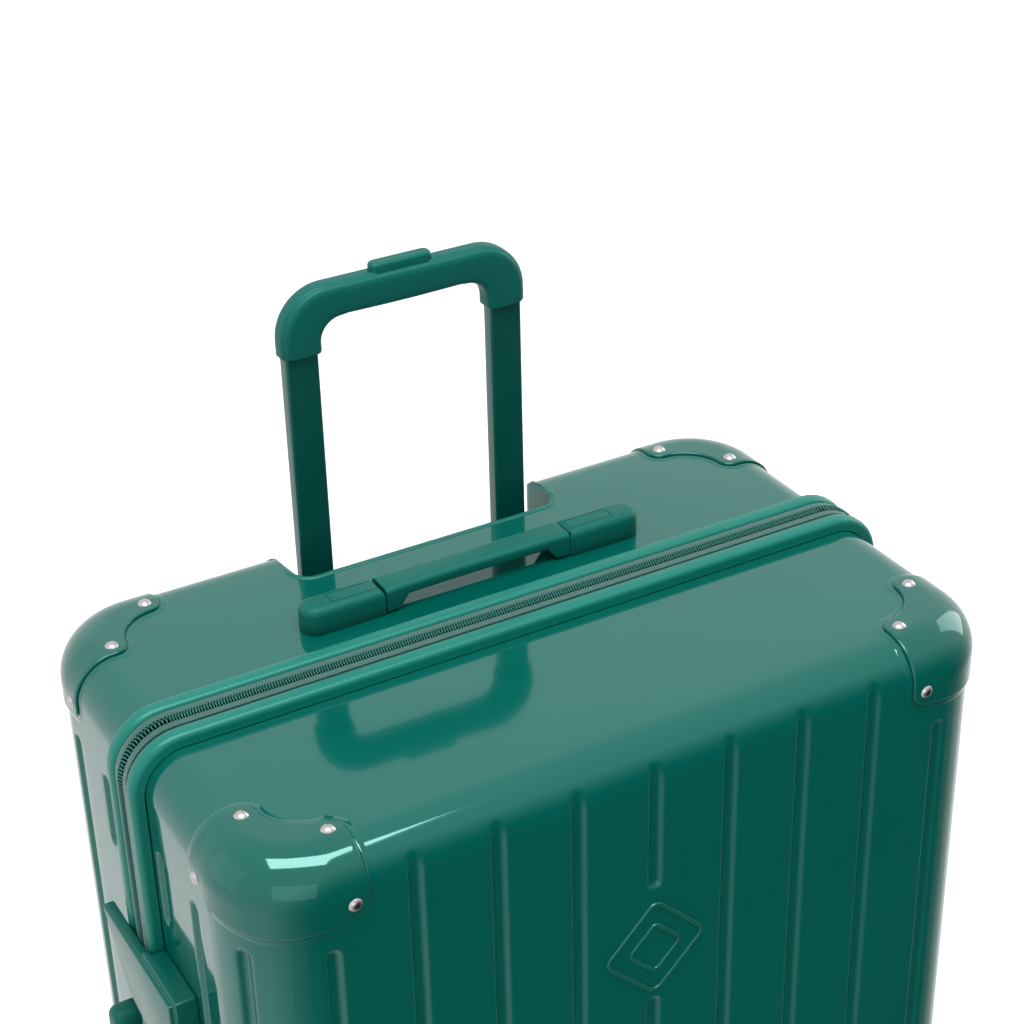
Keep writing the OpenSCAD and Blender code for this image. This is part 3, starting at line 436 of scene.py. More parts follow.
def finish(name, colour, roughness, group=None, group_values=(), bump=0.0, bump_size=0.1 * mm, tone=0.08,
           coat=0.0, coat_roughness=0.03, metallic=0.0, sheen=0.0, specular=0.5, cast=(1, 1, 1)):
    """A material: a base colour that drifts a little in tone, and a surface group for relief and gloss."""
    mat = bpy.data.materials.new(name)
    mat.use_nodes = True
    tree = mat.node_tree
    shader = tree.nodes["Principled BSDF"]
    shader.inputs["Metallic"].default_value = metallic
    shader.inputs["Coat Weight"].default_value = coat
    shader.inputs["Coat Roughness"].default_value = coat_roughness
    shader.inputs["Sheen Weight"].default_value = sheen
    shader.inputs["Specular IOR Level"].default_value = specular
    shader.inputs["Specular Tint"].default_value = (*cast, 1)
    drift = tree.nodes.new("ShaderNodeMixRGB")
    drift.inputs["Color1"].default_value = (*[c * (1 - tone) for c in colour], 1)
    drift.inputs["Color2"].default_value = (*[min(1, c * (1 + tone)) for c in colour], 1)
    tree.links.new(noise(tree, 6.0), drift.inputs["Fac"])
    colour_out = drift.outputs["Color"]
    rough_out = None
    if group is not None:
        node = tree.nodes.new("ShaderNodeGroup")
        node.node_tree = group
        for label, value in group_values:
            node.inputs[label].default_value = value
        if "Roughness" in node.outputs:
            rough_out = maths(tree, "ADD", node.outputs["Roughness"], roughness)
        if "Shade" in node.outputs:
            shade = tree.nodes.new("ShaderNodeMixRGB")
            shade.blend_type = "MULTIPLY"
            shade.inputs["Fac"].default_value = 1.0
            tree.links.new(colour_out, shade.inputs["Color1"])
            tree.links.new(node.outputs["Shade"], shade.inputs["Color2"])
            colour_out = shade.outputs["Color"]
        if bump:
            relief = tree.nodes.new("ShaderNodeBump")
            relief.inputs["Strength"].default_value = bump
            relief.inputs["Distance"].default_value = bump_size
            tree.links.new(node.outputs["Height"], relief.inputs["Height"])
            tree.links.new(relief.outputs["Normal"], shader.inputs["Normal"])
    tree.links.new(colour_out, shader.inputs["Base Color"])
    if rough_out is None:
        shader.inputs["Roughness"].default_value = roughness
    else:
        tree.links.new(rough_out, shader.inputs["Roughness"])
    return mat


def fit(obj, material, body, slot, *stands_for):
    """Gives a piece its material and its body, and puts it in place of its CAD nodes."""
    obj.data.materials.clear()
    obj.data.materials.append(material)
    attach(obj, body)
    if stands_for:
        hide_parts(*stands_for)
    return obj


lacquer = (0.42, 1.0, 0.92)
shell_gloss = finish("shell_gloss", (0.0, 0.066, 0.052), 0.07, handling,
                     [("Dullness", 0.06), ("Scuffs", 0.05), ("Ripple", 1.0)], bump=0.25, bump_size=0.6 * mm,
                     coat=0.22, coat_roughness=0.02, specular=0.62, cast=lacquer)
front_tray = half_tray("front_tray", -1, front_grooves)
fit(front_tray, shell_gloss, "front_case", "shell", "front_shell")

# The rear tray has a bay in its top for the pulling grip, open to the rear, with flared mouth corners
pan_low, pan_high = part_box("handle_pan")
pan_half, pan_front, pan_floor = pan_high.x, pan_low.y, pan_low.z
bay_r, mouth_r = 14 * mm, 13 * mm


def bay_outline(inset):
    """Right half of the bay's plan from its mouth to the middle of its front wall, drawn in by inset."""
    w, y0 = pan_half - inset, pan_front + inset
    mouth = arc_points(w + mouth_r + inset, half_d - mouth_r, mouth_r + inset, 90, 180, 8)
    return mouth + arc_points(w - bay_r + inset, y0 + bay_r - inset, bay_r - inset, 0, -90, 10)


bay = bay_outline(0)
bay = [(bay[0][0], half_d + 20 * mm)] + bay
bay_tool = prism("bay_tool", bay + [(-x, y) for x, y in reversed(bay)], pan_floor, z_top + 20 * mm)
rear_tray = cut(half_tray("rear_tray", 1, rear_grooves), bay_tool)
settle(rear_tray.data, closed=False, crease=40)
fit(rear_tray, shell_gloss, "rear_case", "shell", "rear_shell")

# --- Corner guards ------------------------------------------------------------------------------
# Eight gloss mouldings, 2 mm thick, that wrap the case's corners. Each has two lobes on the top with a
# hollow between them, and one lobe on each face, where the rivets go.

guard_t, guard_reach, guard_drop, guard_slope = 2 * mm, 71 * mm, 37.5 * mm, 0.14
lobe_r, rivet_near = 9 * mm, 27.5 * mm
guard_round = 1.1 * mm


def guard_edge(p):
    """Signed distance, roughly, of points to the edge of the upper right front guard, negative inside."""
    u, v, w = half_w - p[..., 0], half_d + p[..., 1], z_top - p[..., 2]
    far_in, low_in, tilt = guard_reach - lobe_r, guard_drop - lobe_r, math.atan(guard_slope)
    foot = far_in + lobe_r * math.sin(tilt), low_in + lobe_r * math.cos(tilt)

    def face(a, b):
        lobe = np.hypot(a - far_in, b - low_in) - lobe_r
        sloped = np.maximum((b - foot[1] - guard_slope * (foot[0] - a)) * math.cos(tilt), a - foot[0])
        return np.minimum(np.minimum(lobe, sloped), np.maximum(a - guard_reach, b - low_in))

    x, y, a1 = guard_reach - u, guard_reach - v, guard_reach - rivet_near
    gap = (far_in - rivet_near) / math.sqrt(2)
    hollow_r = (gap ** 2 - lobe_r ** 2) / (2 * lobe_r)
    c = (a1 + lobe_r) / 2 - hollow_r / math.sqrt(2)
    span = math.hypot(lobe_r - c, a1 - c)
    lobes = np.minimum(np.hypot(x - lobe_r, y - a1), np.hypot(x - a1, y - lobe_r)) - lobe_r
    wedge = np.maximum((lobe_r - c) * (y - c) - (a1 - c) * (x - c),
                       (lobe_r - c) * (x - c) - (a1 - c) * (y - c)) / span
    middle = np.maximum(wedge, hollow_r - np.hypot(x - c, y - c))
    plan = np.minimum(np.minimum(np.maximum(a1 - y, -x), np.maximum(a1 - x, -y)), np.minimum(lobes, middle))
    return np.maximum(np.maximum(face(u, w), face(v, w)), plan)


guard_centre = np.array([half_w - 62 * mm, -half_d + 62 * mm, z_top - 62 * mm])
guard_axis = np.array([1.0, -1.0, 1.25]) / np.linalg.norm([1.0, -1.0, 1.25])
guard_side = np.array([1.0, 1.0, 0.0]) / math.sqrt(2)
guard_up = np.cross(guard_axis, guard_side)
guard_turns = np.radians(np.arange(0, 360, 1.5))


def skin_hit(turns, tilt):
    """Where rays from inside the corner, tilted from its diagonal, meet the skin."""
    ray = (np.cos(tilt)[..., None] * guard_axis + np.sin(tilt)[..., None]
           * (np.cos(turns)[..., None] * guard_side + np.sin(turns)[..., None] * guard_up))
    low, high = np.zeros(tilt.shape), np.full(tilt.shape, 0.3)
    for _ in range(30):
        t = (low + high) / 2
        inside = skin_distance(guard_centre + ray * t[..., None]) < 0
        low, high = np.where(inside, t, low), np.where(inside, high, t)
    return guard_centre + ray * t[..., None]


def guard_level(depth):
    """Ray tilts at which the skin lies that far inside the guard's edge, one for each turn."""
    low, high = np.zeros(len(guard_turns)), np.full(len(guard_turns), 1.75)
    for _ in range(30):
        t = (low + high) / 2
        inside = guard_edge(skin_hit(guard_turns, t)) < -depth
        low, high = np.where(inside, t, low), np.where(inside, high, t)
    return t


def lifted(points, height):
    """Points moved off the skin along its normal."""
    step = 0.05 * mm
    grad = np.stack([skin_distance(points + step * axis) - skin_distance(points - step * axis)
                     for axis in np.eye(3)], -1)
    grad /= np.linalg.norm(grad, axis=-1, keepdims=True)
    return points + grad * np.reshape(height, np.shape(height) + (1,) * (points.ndim - np.ndim(height)))


rounding = [guard_round * (1 - math.cos(math.radians(a))) for a in (0, 18, 36, 54, 72, 90)]
heights = [guard_t - guard_round + guard_round * math.sin(math.radians(a)) for a in (0, 18, 36, 54, 72, 90)]
edge_tilts = [guard_level(d) for d in rounding]
inner_tilts = [edge_tilts[-1] * (1 - k / 22) for k in range(1, 22)]
tilts = np.array(edge_tilts + inner_tilts)
rise = np.array(heights + [guard_t] * len(inner_tilts))
on_skin = skin_hit(np.repeat(guard_turns[None], len(tilts), 0), tilts)
guard_top = lifted(on_skin, rise)
guard_foot = lifted(on_skin[:1], np.array([-0.1 * mm]))
guard_inner = lifted(on_skin[5:], np.full(len(tilts) - 5, -0.1 * mm))
guard_grid = np.concatenate([guard_inner[::-1], guard_foot, guard_top])
# Round the guard the shell has a soft raised shoulder
shoulder_steps = [(-0.35, -0.12), (-0.5, 0.22), (-1.0, 0.42), (-1.8, 0.44), (-3.0, 0.26), (-4.4, 0.06),
                  (-5.0, -0.1)]
shoulder_tilts = np.array([guard_level(d * mm) for d, _ in shoulder_steps])
shoulder_grid = lifted(skin_hit(np.repeat(guard_turns[None], len(shoulder_tilts), 0), shoulder_tilts),
                       np.array([h * mm for _, h in shoulder_steps]))


def four_corners(grid, sy):
    """The grid of the upper right front corner, copied to a half's four corners."""
    copies = []
    for sx in (-1, 1):
        for sz in (-1, 1):
            pts = grid.copy()
            pts[..., 0] *= sx
            pts[..., 1] *= -sy
            pts[..., 2] = z_mid + (pts[..., 2] - z_mid) * sz
            copies.append(pts)
    return copies


guard_gloss = finish("guard_gloss", (0.0, 0.062, 0.048), 0.07, handling,
                     [("Dullness", 0.08), ("Scuffs", 0.06), ("Ripple", 0.6)], bump=0.2, bump_size=0.5 * mm,
                     coat=0.25, coat_roughness=0.02, specular=0.6, cast=lacquer)
for sy, half, body in ((-1, "front", "front_case"), (1, "rear", "rear_case")):
    guards = build(half + "_guards", [(g, False, True, True) for g in four_corners(guard_grid, sy)],
                   crease=50)
    fit(guards, guard_gloss, body, "guard", half + "_corner_guards")
    shoulders = build(half + "_guard_shoulders",
                      [(g, False, True, False) for g in four_corners(shoulder_grid, sy)],
                      crease=60)
    fit(shoulders, shell_gloss, body, "shell")

# --- Rivets -------------------------------------------------------------------------------------
# Polished domed heads, two on the top of each upper guard and one on each face of every guard.


def copies_tree():
    """Geometry Nodes that put a piece on each point, turned by the point's own rotation."""
    tree = bpy.data.node_groups.new("copies_at_points", "GeometryNodeTree")
    sockets = tree.interface
    sockets.new_socket("Places", in_out="INPUT", socket_type="NodeSocketGeometry")
    sockets.new_socket("Piece", in_out="INPUT", socket_type="NodeSocketObject")
    sockets.new_socket("Size", in_out="INPUT", socket_type="NodeSocketFloat").default_value = 1.0
    sockets.new_socket("Size variation", in_out="INPUT", socket_type="NodeSocketFloat")
    sockets.new_socket("Finish", in_out="INPUT", socket_type="NodeSocketMaterial")
    sockets.new_socket("Copies", in_out="OUTPUT", socket_type="NodeSocketGeometry")
    start, end = tree.nodes.new("NodeGroupInput"), tree.nodes.new("NodeGroupOutput")
    piece = tree.nodes.new("GeometryNodeObjectInfo")
    copies = tree.nodes.new("GeometryNodeInstanceOnPoints")
    turn_of = tree.nodes.new("GeometryNodeInputNamedAttribute")
    turn_of.data_type = "QUATERNION"
    turn_of.inputs["Name"].default_value = "turn"
    spread = tree.nodes.new("FunctionNodeRandomValue")
    spread.inputs["Seed"].default_value = 7
    low, high = maths(tree, "SUBTRACT", 1.0, start.outputs["Size variation"]), maths(
        tree, "ADD", 1.0, start.outputs["Size variation"])
    tree.links.new(low, spread.inputs[2])
    tree.links.new(high, spread.inputs[3])
    real, paint = tree.nodes.new("GeometryNodeRealizeInstances"), tree.nodes.new("GeometryNodeSetMaterial")
    link = tree.links.new
    link(start.outputs["Piece"], piece.inputs["Object"])
    link(start.outputs["Places"], copies.inputs["Points"])
    link(piece.outputs["Geometry"], copies.inputs["Instance"])
    link(turn_of.outputs["Attribute"], copies.inputs["Rotation"])
    link(maths(tree, "MULTIPLY", start.outputs["Size"], spread.outputs[1]), copies.inputs["Scale"])
    link(copies.outputs["Instances"], real.inputs["Geometry"])
    link(real.outputs["Geometry"], paint.inputs["Geometry"])
    link(start.outputs["Finish"], paint.inputs["Material"])
    link(paint.outputs["Geometry"], end.inputs["Copies"])
    return tree


copies_at_points = copies_tree()


def set_in_rows(name, piece, places, turns, material, variation=0.0):
    """Copies of a small piece at those places, as one plain mesh."""
    mesh = bpy.data.meshes.new(name)
    mesh.from_pydata([tuple(p) for p in places], [], [])
    turn = mesh.attributes.new("turn", "QUATERNION", "POINT")
    turn.data.foreach_set("value", np.array([tuple(t) for t in turns], dtype=np.float32).ravel())
    obj = bpy.data.objects.new(name, mesh)
    bpy.context.scene.collection.objects.link(obj)
    mod = obj.modifiers.new("copies", "NODES")
    mod.node_group = copies_at_points
    sockets = {s.name: s.identifier for s in copies_at_points.interface.items_tree if s.in_out == "INPUT"}
    mod[sockets["Piece"]] = piece
    mod[sockets["Size"]] = 1.0
    mod[sockets["Size variation"]] = variation
    mod[sockets["Finish"]] = material
    applied(obj)
    bpy.data.objects.remove(piece)
    return obj


def lathe(name, profile, steps=24):
    """A turned piece about local Z from (radius, height) points, closed at both ends."""
    angles = np.arange(steps) * 2 * math.pi / steps
    rows = np.array([[(max(r, 0.01 * mm) * math.cos(a), max(r, 0.01 * mm) * math.sin(a), h) for a in angles]
                     for r, h in profile])
    return build(name, [(rows, False, True, True)])


def facing(normal):
    """The turn that takes +Z to that direction."""
    return Vector(normal).to_track_quat("Z", "Y")


chrome = finish("rivet_chrome", (0.50, 0.47, 0.48), 0.20, handling,
                [("Dullness", 0.15), ("Scuffs", 0.2), ("Ripple", 0)], metallic=1.0, tone=0.03)
rivet_r, rivet_h = 4.2 * mm, 2.2 * mm
dome_r = (rivet_r ** 2 + rivet_h ** 2) / (2 * rivet_h)
dome = [(dome_r * math.sin(a), rivet_h - dome_r + dome_r * math.cos(a))
        for a in np.linspace(0, math.asin(rivet_r / dome_r), 8)]
for sy, half, body in ((-1, "front", "front_case"), (1, "rear", "rear_case")):
    places, turns = [], []
    for sx in (-1, 1):
        far_in, face_z = guard_reach - lobe_r, z_top - guard_drop + lobe_r
        for a, b in ((far_in, rivet_near), (rivet_near, far_in)):
            places.append((sx * (half_w - a), sy * (half_d - b), z_top + guard_t))
            turns.append(facing((0, 0, 1)))
        for z in (face_z, 2 * z_mid - face_z):
            places += [(sx * (half_w - far_in), sy * (half_d + guard_t), z),
                       (sx * (half_w + guard_t), sy * (half_d - far_in), z)]
            turns += [facing((0, sy, 0)), facing((sx, 0, 0))]
    head = lathe("rivet_head", dome + [(rivet_r, -0.1 * mm)])
    fit(set_in_rows(half + "_rivet_heads", head, places, turns, chrome), chrome, body, "rivet",
        half + "_rivets")

# --- Zipper frame -------------------------------------------------------------------------------
# Each half is bound by a band of satin piping. Between the bands lie the woven tapes and the nylon
# coil, whose teeth run round the top, the left side and the bottom.

piping_start, piping_w, piping_h = 8 * mm, 13 * mm, 8.5 * mm
side_straight = (z_bottom + edge_r, z_top - edge_r)


def frame_path(gap, first_straight=True):
    """Points and outward normals round the case's outline in X and Z, from the right side's foot, a
    given gap apart on the straights. Without its first straight the path starts at the upper corner."""
    x1, z1 = half_w - edge_r, z_top - edge_r
    pts, normals = [], []

    def straight(a, b, n):
        count = max(1, int(round(math.dist(a, b) / gap)))
        for k in range(count):
            pts.append([a[i] + (b[i] - a[i]) * k / count for i in (0, 1)])
            normals.append(n)

    def corner(cx, cz, a0):
        count = max(8, int(round(edge_r * math.pi / 2 / gap)))
        for k in range(count):
            a = math.radians(a0 + 90 * k / count)
            pts.append([cx + edge_r * math.cos(a), cz + edge_r * math.sin(a)])
            normals.append((math.cos(a), math.sin(a)))

    z0 = z_bottom + edge_r
    if first_straight:
        straight((half_w, z0), (half_w, z1), (1, 0))
    corner(x1, z1, 0)
    straight((x1, z_top), (-x1, z_top), (0, 1))
    corner(-x1, z1, 90)
    straight((-half_w, z1), (-half_w, z0), (-1, 0))
    corner(-x1, z0, 180)
    straight((-x1, z_bottom), (x1, z_bottom), (0, -1))
    corner(x1, z0, 270)
    return np.array(pts), np.array(normals)


def swept_band(name, section, sy, gap=12 * mm, closed=True):
    """A band whose (height, depth) section goes round the case's outline."""
    pts, normals = frame_path(gap)
    rows = np.array([[(p[0] + n[0] * h, sy * y, p[1] + n[1] * h) for h, y in section]
                     for p, n in zip(pts, normals)])
    return build(name, [(rows, closed, True, not closed)], crease=50)


def piping_section():
    """Flat foot, a low flange by the coil and a full round crest."""
    y0, y1, r = piping_start, piping_start + piping_w, 4.2 * mm
    crest = [(piping_h - r + r * math.sin(a), y1 - r - 0.3 * mm + r * math.cos(a))
             for a in np.radians(np.linspace(0, 90, 9))]
    shoulder = [(piping_h - r + r * math.cos(a), y0 + 1.2 * mm + r - r * math.sin(a))
                for a in np.radians(np.linspace(0, 72, 8))]
    return ([(0.0, y1 - 0.9 * mm), (0.7 * mm, y1 - 0.1 * mm), (1.6 * mm, y1 - 0.3 * mm)] + crest + shoulder
            + [(piping_h - r - 0.8 * mm, y0 + 0.9 * mm), (piping_h - r - 1.2 * mm, y0 + 0.1 * mm), (0.0, y0)])


piping_satin = finish("piping_satin", (0.0, 0.110, 0.084), 0.34, pebble,
                      [("Size", 1400.0), ("Variation", 0.12)],
                      bump=0.12, bump_size=0.05 * mm, coat=0.1, coat_roughness=0.25, cast=lacquer)
tape_cloth = finish("tape_cloth", (0.0, 0.060, 0.047), 0.8, weave, [("Threads per metre", 1600.0)],
                    bump=0.6, bump_size=0.15 * mm, sheen=0.3)
coil_nylon = finish("coil_nylon", (0.0, 0.085, 0.066), 0.38, pebble, [("Size", 2500.0), ("Variation", 0.1)],
                    bump=0.1, bump_size=0.03 * mm)
tape_section = [(5.8 * mm, 3.3 * mm), (5.8 * mm, 8.0 * mm), (6.9 * mm, 8.0 * mm), (7.0 * mm, 6.0 * mm),
                (6.9 * mm, 3.3 * mm)]
for sy, half, body in ((-1, "front", "front_case"), (1, "rear", "rear_case")):
    fit(swept_band(half + "_piping_band", piping_section(), sy), piping_satin, body, "piping",
        half + "_piping")
    fit(swept_band(half + "_tape", tape_section, sy), tape_cloth, body, "tape", half + "_zipper_tape")
    # One loop of the coil: a flattened rod across the tape with a bulged head at the middle line
    loop = [(0.3, 0.62, 7.9), (0.7, 0.66, 8.2), (1.4, 0.50, 8.0), (2.6, 0.48, 7.8), (3.25, 0.40, 7.3)]
    rows = np.array([[(w * mm * math.cos(a), y * mm, (h - 0.35 + 1.1 * w * math.sin(a)) * mm)
                      for a in np.radians((30, 90, 150, 210, 270, 330))] for y, w, h in loop])
    coil_loop = build("coil_loop", [(rows, False, True, True)], crease=70)
    pts, normals = frame_path(1.75 * mm, first_straight=False)
    if sy > 0:
        pts = (pts + np.roll(pts, -1, axis=0)) / 2
    places = [(p[0], 0, p[1]) for p in pts[:-1]]
    turns = [Matrix(((-n[1] * -sy, 0, n[0]), (0, sy, 0), (n[0] * -sy, 0, n[1]))).to_quaternion()
             for n in normals[:-1]]
    teeth = set_in_rows(half + "_coil", coil_loop, places, turns, coil_nylon)
    fit(teeth, coil_nylon, body, "teeth", half + "_zipper_teeth")

# The right side has no teeth: one strip of the same cloth joins the halves there, made in one fixed shape
z = np.linspace(side_straight[0], side_straight[1], 60)
strip = []
for h, ys in ((7.0, np.linspace(3.3, -3.3, 15)), (5.9, np.linspace(-3.3, 3.3, 15))):
    strip += [(half_w + (h - 0.5 * math.cos(math.pi * y / 6.6)) * mm, y * mm) for y in ys]
rows = np.array([[(x, y, zz) for x, y in strip] for zz in z])
hinge_strip = build("hinge_strip", [(rows, False, True, True)], crease=70)
hinge_strip.data.materials.append(tape_cloth)
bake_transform(hinge_strip)
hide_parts("hinge_cloth_rear", "hinge_cloth_front")

# --- Handle bay ---------------------------------------------------------------------------------
# A satin moulded pan lines the bay and takes the tubes' ends. Its bead laps over the shell's cut edge.


def rounded_outline(x0, x1, y0, y1, radii, inset=0.0, steps=6):
    """A rectangle's outline with its own radius at each corner, from the right rear one on, drawn in."""
    pts = []
    for (cx, cy, a0), r in zip(((x1, y1, 0), (x0, y1, 90), (x0, y0, 180), (x1, y0, 270)), radii):
        r, shift = max(r - inset, 0.15 * mm), max(r, inset + 0.15 * mm)
        sx, sy = (1 if cx == x1 else -1), (1 if cy == y1 else -1)
        pts += arc_points(cx - sx * shift, cy - sy * shift, r, a0, a0 + 90, steps)
    return pts


def stacked(outline, levels):
    """A grid from an outline drawn in by each level's inset, at that level's height."""
    return np.array([[(x, y, h) for x, y in outline(inset)] for inset, h in levels])


def soft_levels(low, high, r, steps=5, foot=None):
    """Levels of a block with rounded top and foot edges."""
    foot = r if foot is None else foot
    a = np.radians(np.linspace(0, 90, steps + 1))
    up = [(foot * (1 - math.sin(t)), low + foot * (1 - math.cos(t))) for t in a] if foot else [(0, low)]
    return up + [(r * (1 - math.cos(t)), high - r * (1 - math.sin(t))) for t in a]


def along_bay(bead):
    """The bay's edge on the shell from mouth to mouth, with a (outwards, up) section standing on it."""
    half = bay_outline(0)
    path = half + [(-x, y) for x, y in reversed(half)]
    pts = np.array(path)
    keep = np.concatenate([[True], np.linalg.norm(np.diff(pts, axis=0), axis=1) > 0.05 * mm])
    pts = pts[keep]
    tangent = np.gradient(pts, axis=0)
    tangent /= np.linalg.norm(tangent, axis=1, keepdims=True)
    normal = np.stack([-tangent[:, 1], tangent[:, 0]], 1)
    if normal[len(normal) // 2][1] > 0:
        normal = -normal
    rows = []
    for p, n in zip(pts, normal):
        ring = []
        for o, h in bead:
            x, y = p[0] + n[0] * o, min(p[1] + n[1] * o, half_d - 0.2 * mm)
            drop = edge_r - math.sqrt(max(edge_r ** 2 - max(0, y - half_d + edge_r) ** 2, 0))
            ring.append((x, y, z_top - drop + h))
        rows.append(ring)
    return np.array(rows)


bay_satin = finish("bay_satin", (0.0, 0.075, 0.058), 0.34, pebble, [("Size", 700.0), ("Variation", 0.15)],
                   bump=0.15, bump_size=0.05 * mm, coat=0.1, coat_roughness=0.2, cast=lacquer)
bay_half = bay_outline(0.05 * mm)
bay_path = bay_half + [(-x, y) for x, y in reversed(bay_half)]
wall_rows = []
for inset, z_of in ((0.0, 0), (2 * mm, 0), (2 * mm, 0.12), (2 * mm, 0.5), (2.4 * mm, 0.94), (4 * mm, 0.975)):
    ring = bay_outline(inset + 0.05 * mm)
    ring = ring + [(-x, y) for x, y in reversed(ring)]
    row = []
    for x, y in ring:
        y = min(y, half_d - 0.6 * mm)
        top = z_top - edge_r + math.sqrt(max(edge_r ** 2 - max(0, y - half_d + edge_r) ** 2, 0)) + 0.2 * mm
        row.append((x, y, top + (pan_floor + 2 * mm - top) * z_of))
    wall_rows.append(row)
wall_rows.append([(x, y, pan_floor + 2 * mm) for x, y, _ in wall_rows[-1]])
under = [(x, y, pan_floor) for x, y, _ in wall_rows[-1]]
outside = [(x, y, pan_floor) for x, y, _ in wall_rows[0]]
wall_rows += [under, outside]
bead_section = [(-0.8 * mm, -1.4 * mm), (-0.9 * mm, 0.3 * mm), (-0.2 * mm, 0.9 * mm), (0.9 * mm, 0.95 * mm),
                (1.9 * mm, 0.35 * mm), (2.2 * mm, -0.2 * mm), (1.2 * mm, -1.4 * mm)]
liner = build("bay_liner", [(np.array(wall_rows), True, False, False),
                            (along_bay(bead_section), False, True, True)],
              extra_faces=[list(range(6 * len(bay_path), 7 * len(bay_path))),
                           list(range(7 * len(bay_path), 8 * len(bay_path)))], closed=False, crease=45)
tubes_low, tubes_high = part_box("middle_tubes")
tube_y, middle_d = (tubes_low.y + tubes_high.y) / 2, tubes_high.y - tubes_low.y
inner_low, inner_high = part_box("inner_tubes")
inner_d, wall_step = inner_high.y - inner_low.y, (middle_d - (inner_high.y - inner_low.y)) / 2
grip_low, grip_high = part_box("grip")
tube_out = inner_high.x
inner_w = 22 * mm
tube_x = tube_out - inner_w / 2
middle_w = inner_w + 2 * wall_step
fit(liner, bay_satin, "rear_case", "pan", "handle_pan")


# --- Telescopic handle --------------------------------------------------------------------------
# Coated aluminium tubes of rectangular section, one inside the other, and a soft matt moulded grip
# whose push button frees them. Black collars guide each stage.


def hollow(outline, thick, low, high, lip=0.4 * mm):
    """Grid of a tube with a rounded mouth at each end; it wraps both ways."""
    rows = [(0, low + lip), (0, high - lip), (lip, high), (thick - lip, high), (thick, high - lip),
            (thick, low + lip), (thick - lip, low), (lip, low)]
    return stacked(outline, rows)


def tube_outlines(width, depth, r=2.2 * mm, grow=0.0):
    """Outlines of the left and right tubes, as functions of how far each is drawn in."""
    half_x, half_y = width / 2 + grow, depth / 2 + grow
    return [lambda inset, x=sx * tube_x: rounded_outline(x - half_x, x + half_x, tube_y - half_y,
                                                         tube_y + half_y, [r + grow] * 4, inset, 5)
            for sx in (-1, 1)]


tube_coat = finish("tube_coat", (0.0, 0.048, 0.038), 0.26, pebble, [("Size", 1100.0), ("Variation", 0.12)],
                   bump=0.10, bump_size=0.04 * mm, coat=0.2, coat_roughness=0.12, cast=lacquer)
raw_alloy = finish("raw_alloy", (0.62, 0.63, 0.65), 0.32, handling,
                   [("Dullness", 0.2), ("Scuffs", 0.3), ("Ripple", 0)], metallic=1.0)
black_nylon = finish("black_nylon", (0.018, 0.018, 0.019), 0.45, pebble,
                     [("Size", 900.0), ("Variation", 0.15)],
                     bump=0.2, bump_size=0.05 * mm)
inner = build("inner_tube_pair", [(hollow(o, 1.3 * mm, inner_low.z, grip_low.z + 6 * mm), True, True, False)
                                  for o in tube_outlines(inner_w, inner_d)])
fit(inner, tube_coat, "grip_stage", "tube", "inner_tubes")
middle = build("middle_tube_pair", [(hollow(o, 1.3 * mm, tubes_low.z, tubes_high.z), True, True, False)
                                    for o in tube_outlines(middle_w, middle_d, 3 * mm)])
fit(middle, tube_coat, "middle_stage", "tube", "middle_tubes")
outer_low, outer_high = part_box("outer_tubes")
outer = build("outer_tube_pair",
              [(hollow(o, 1.3 * mm, outer_low.z, outer_high.z), True, True, False)
               for o in tube_outlines(middle_w + 2 * wall_step, middle_d + 2 * wall_step, 3.5 * mm)])
fit(outer, raw_alloy, "rear_case", "raw_tube", "outer_tubes")
for node, body, (w, d) in (("outer_tube_collars", "rear_case", (middle_w, middle_d)),
                           ("middle_tube_collars", "middle_stage", (inner_w, inner_d))):
    low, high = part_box(node)
    collar_levels = [(2.62 * mm, low.z), (0.5 * mm, low.z), (0, low.z + 0.5 * mm), (0, high.z - 1.6 * mm),
                     (0.5 * mm, high.z - 0.6 * mm), (1.4 * mm, high.z), (2.2 * mm, high.z),
                     (2.62 * mm, high.z - 0.5 * mm)]
    rings = [stacked(o, collar_levels) for o in tube_outlines(w, d, 3 * mm, 3 * mm)]
    fit(build(node + "_made", [(g, True, True, False) for g in rings]), black_nylon, body,
        "black_plastic", node)

handle_matt = finish("handle_matt", (0.0, 0.072, 0.058), 0.44, pebble,
                     [("Size", 1200.0), ("Variation", 0.12)],
                     bump=0.22, bump_size=0.05 * mm, specular=0.35, cast=lacquer)
grip_half, grip_deep, grip_bar = grip_high.x, (grip_high.y - grip_low.y) / 2, 22.5 * mm
leg_in = 2 * tube_x - grip_half
r_out, r_in = 32 * mm, 14 * mm
under_bar = grip_high.z - grip_bar
stations = [((grip_half - f, z), (leg_in + f, z)) for f, z in
            ((0.6 * mm, grip_low.z), (0.0, grip_low.z + 0.8 * mm), (0.0, grip_low.z + 5 * mm))]
for a in np.radians(np.linspace(0, 90, 19)):
    stations.append(((grip_half - r_out + r_out * math.cos(a), grip_high.z - r_out + r_out * math.sin(a)),
                     (leg_in - r_in + r_in * math.cos(a), under_bar - r_in + r_in * math.sin(a))))
finger_rise = 0.6 * mm
stations += [((x, grip_high.z),
              (x, under_bar - finger_rise * math.cos(math.pi * x / 2 / (leg_in - r_in)) + finger_rise))
             for x in np.linspace(leg_in - r_in - 5 * mm, 0, 10)]
stations += [((-o[0], o[1]), (-i[0], i[1])) for o, i in reversed(stations[:-1])]
d = grip_deep / mm


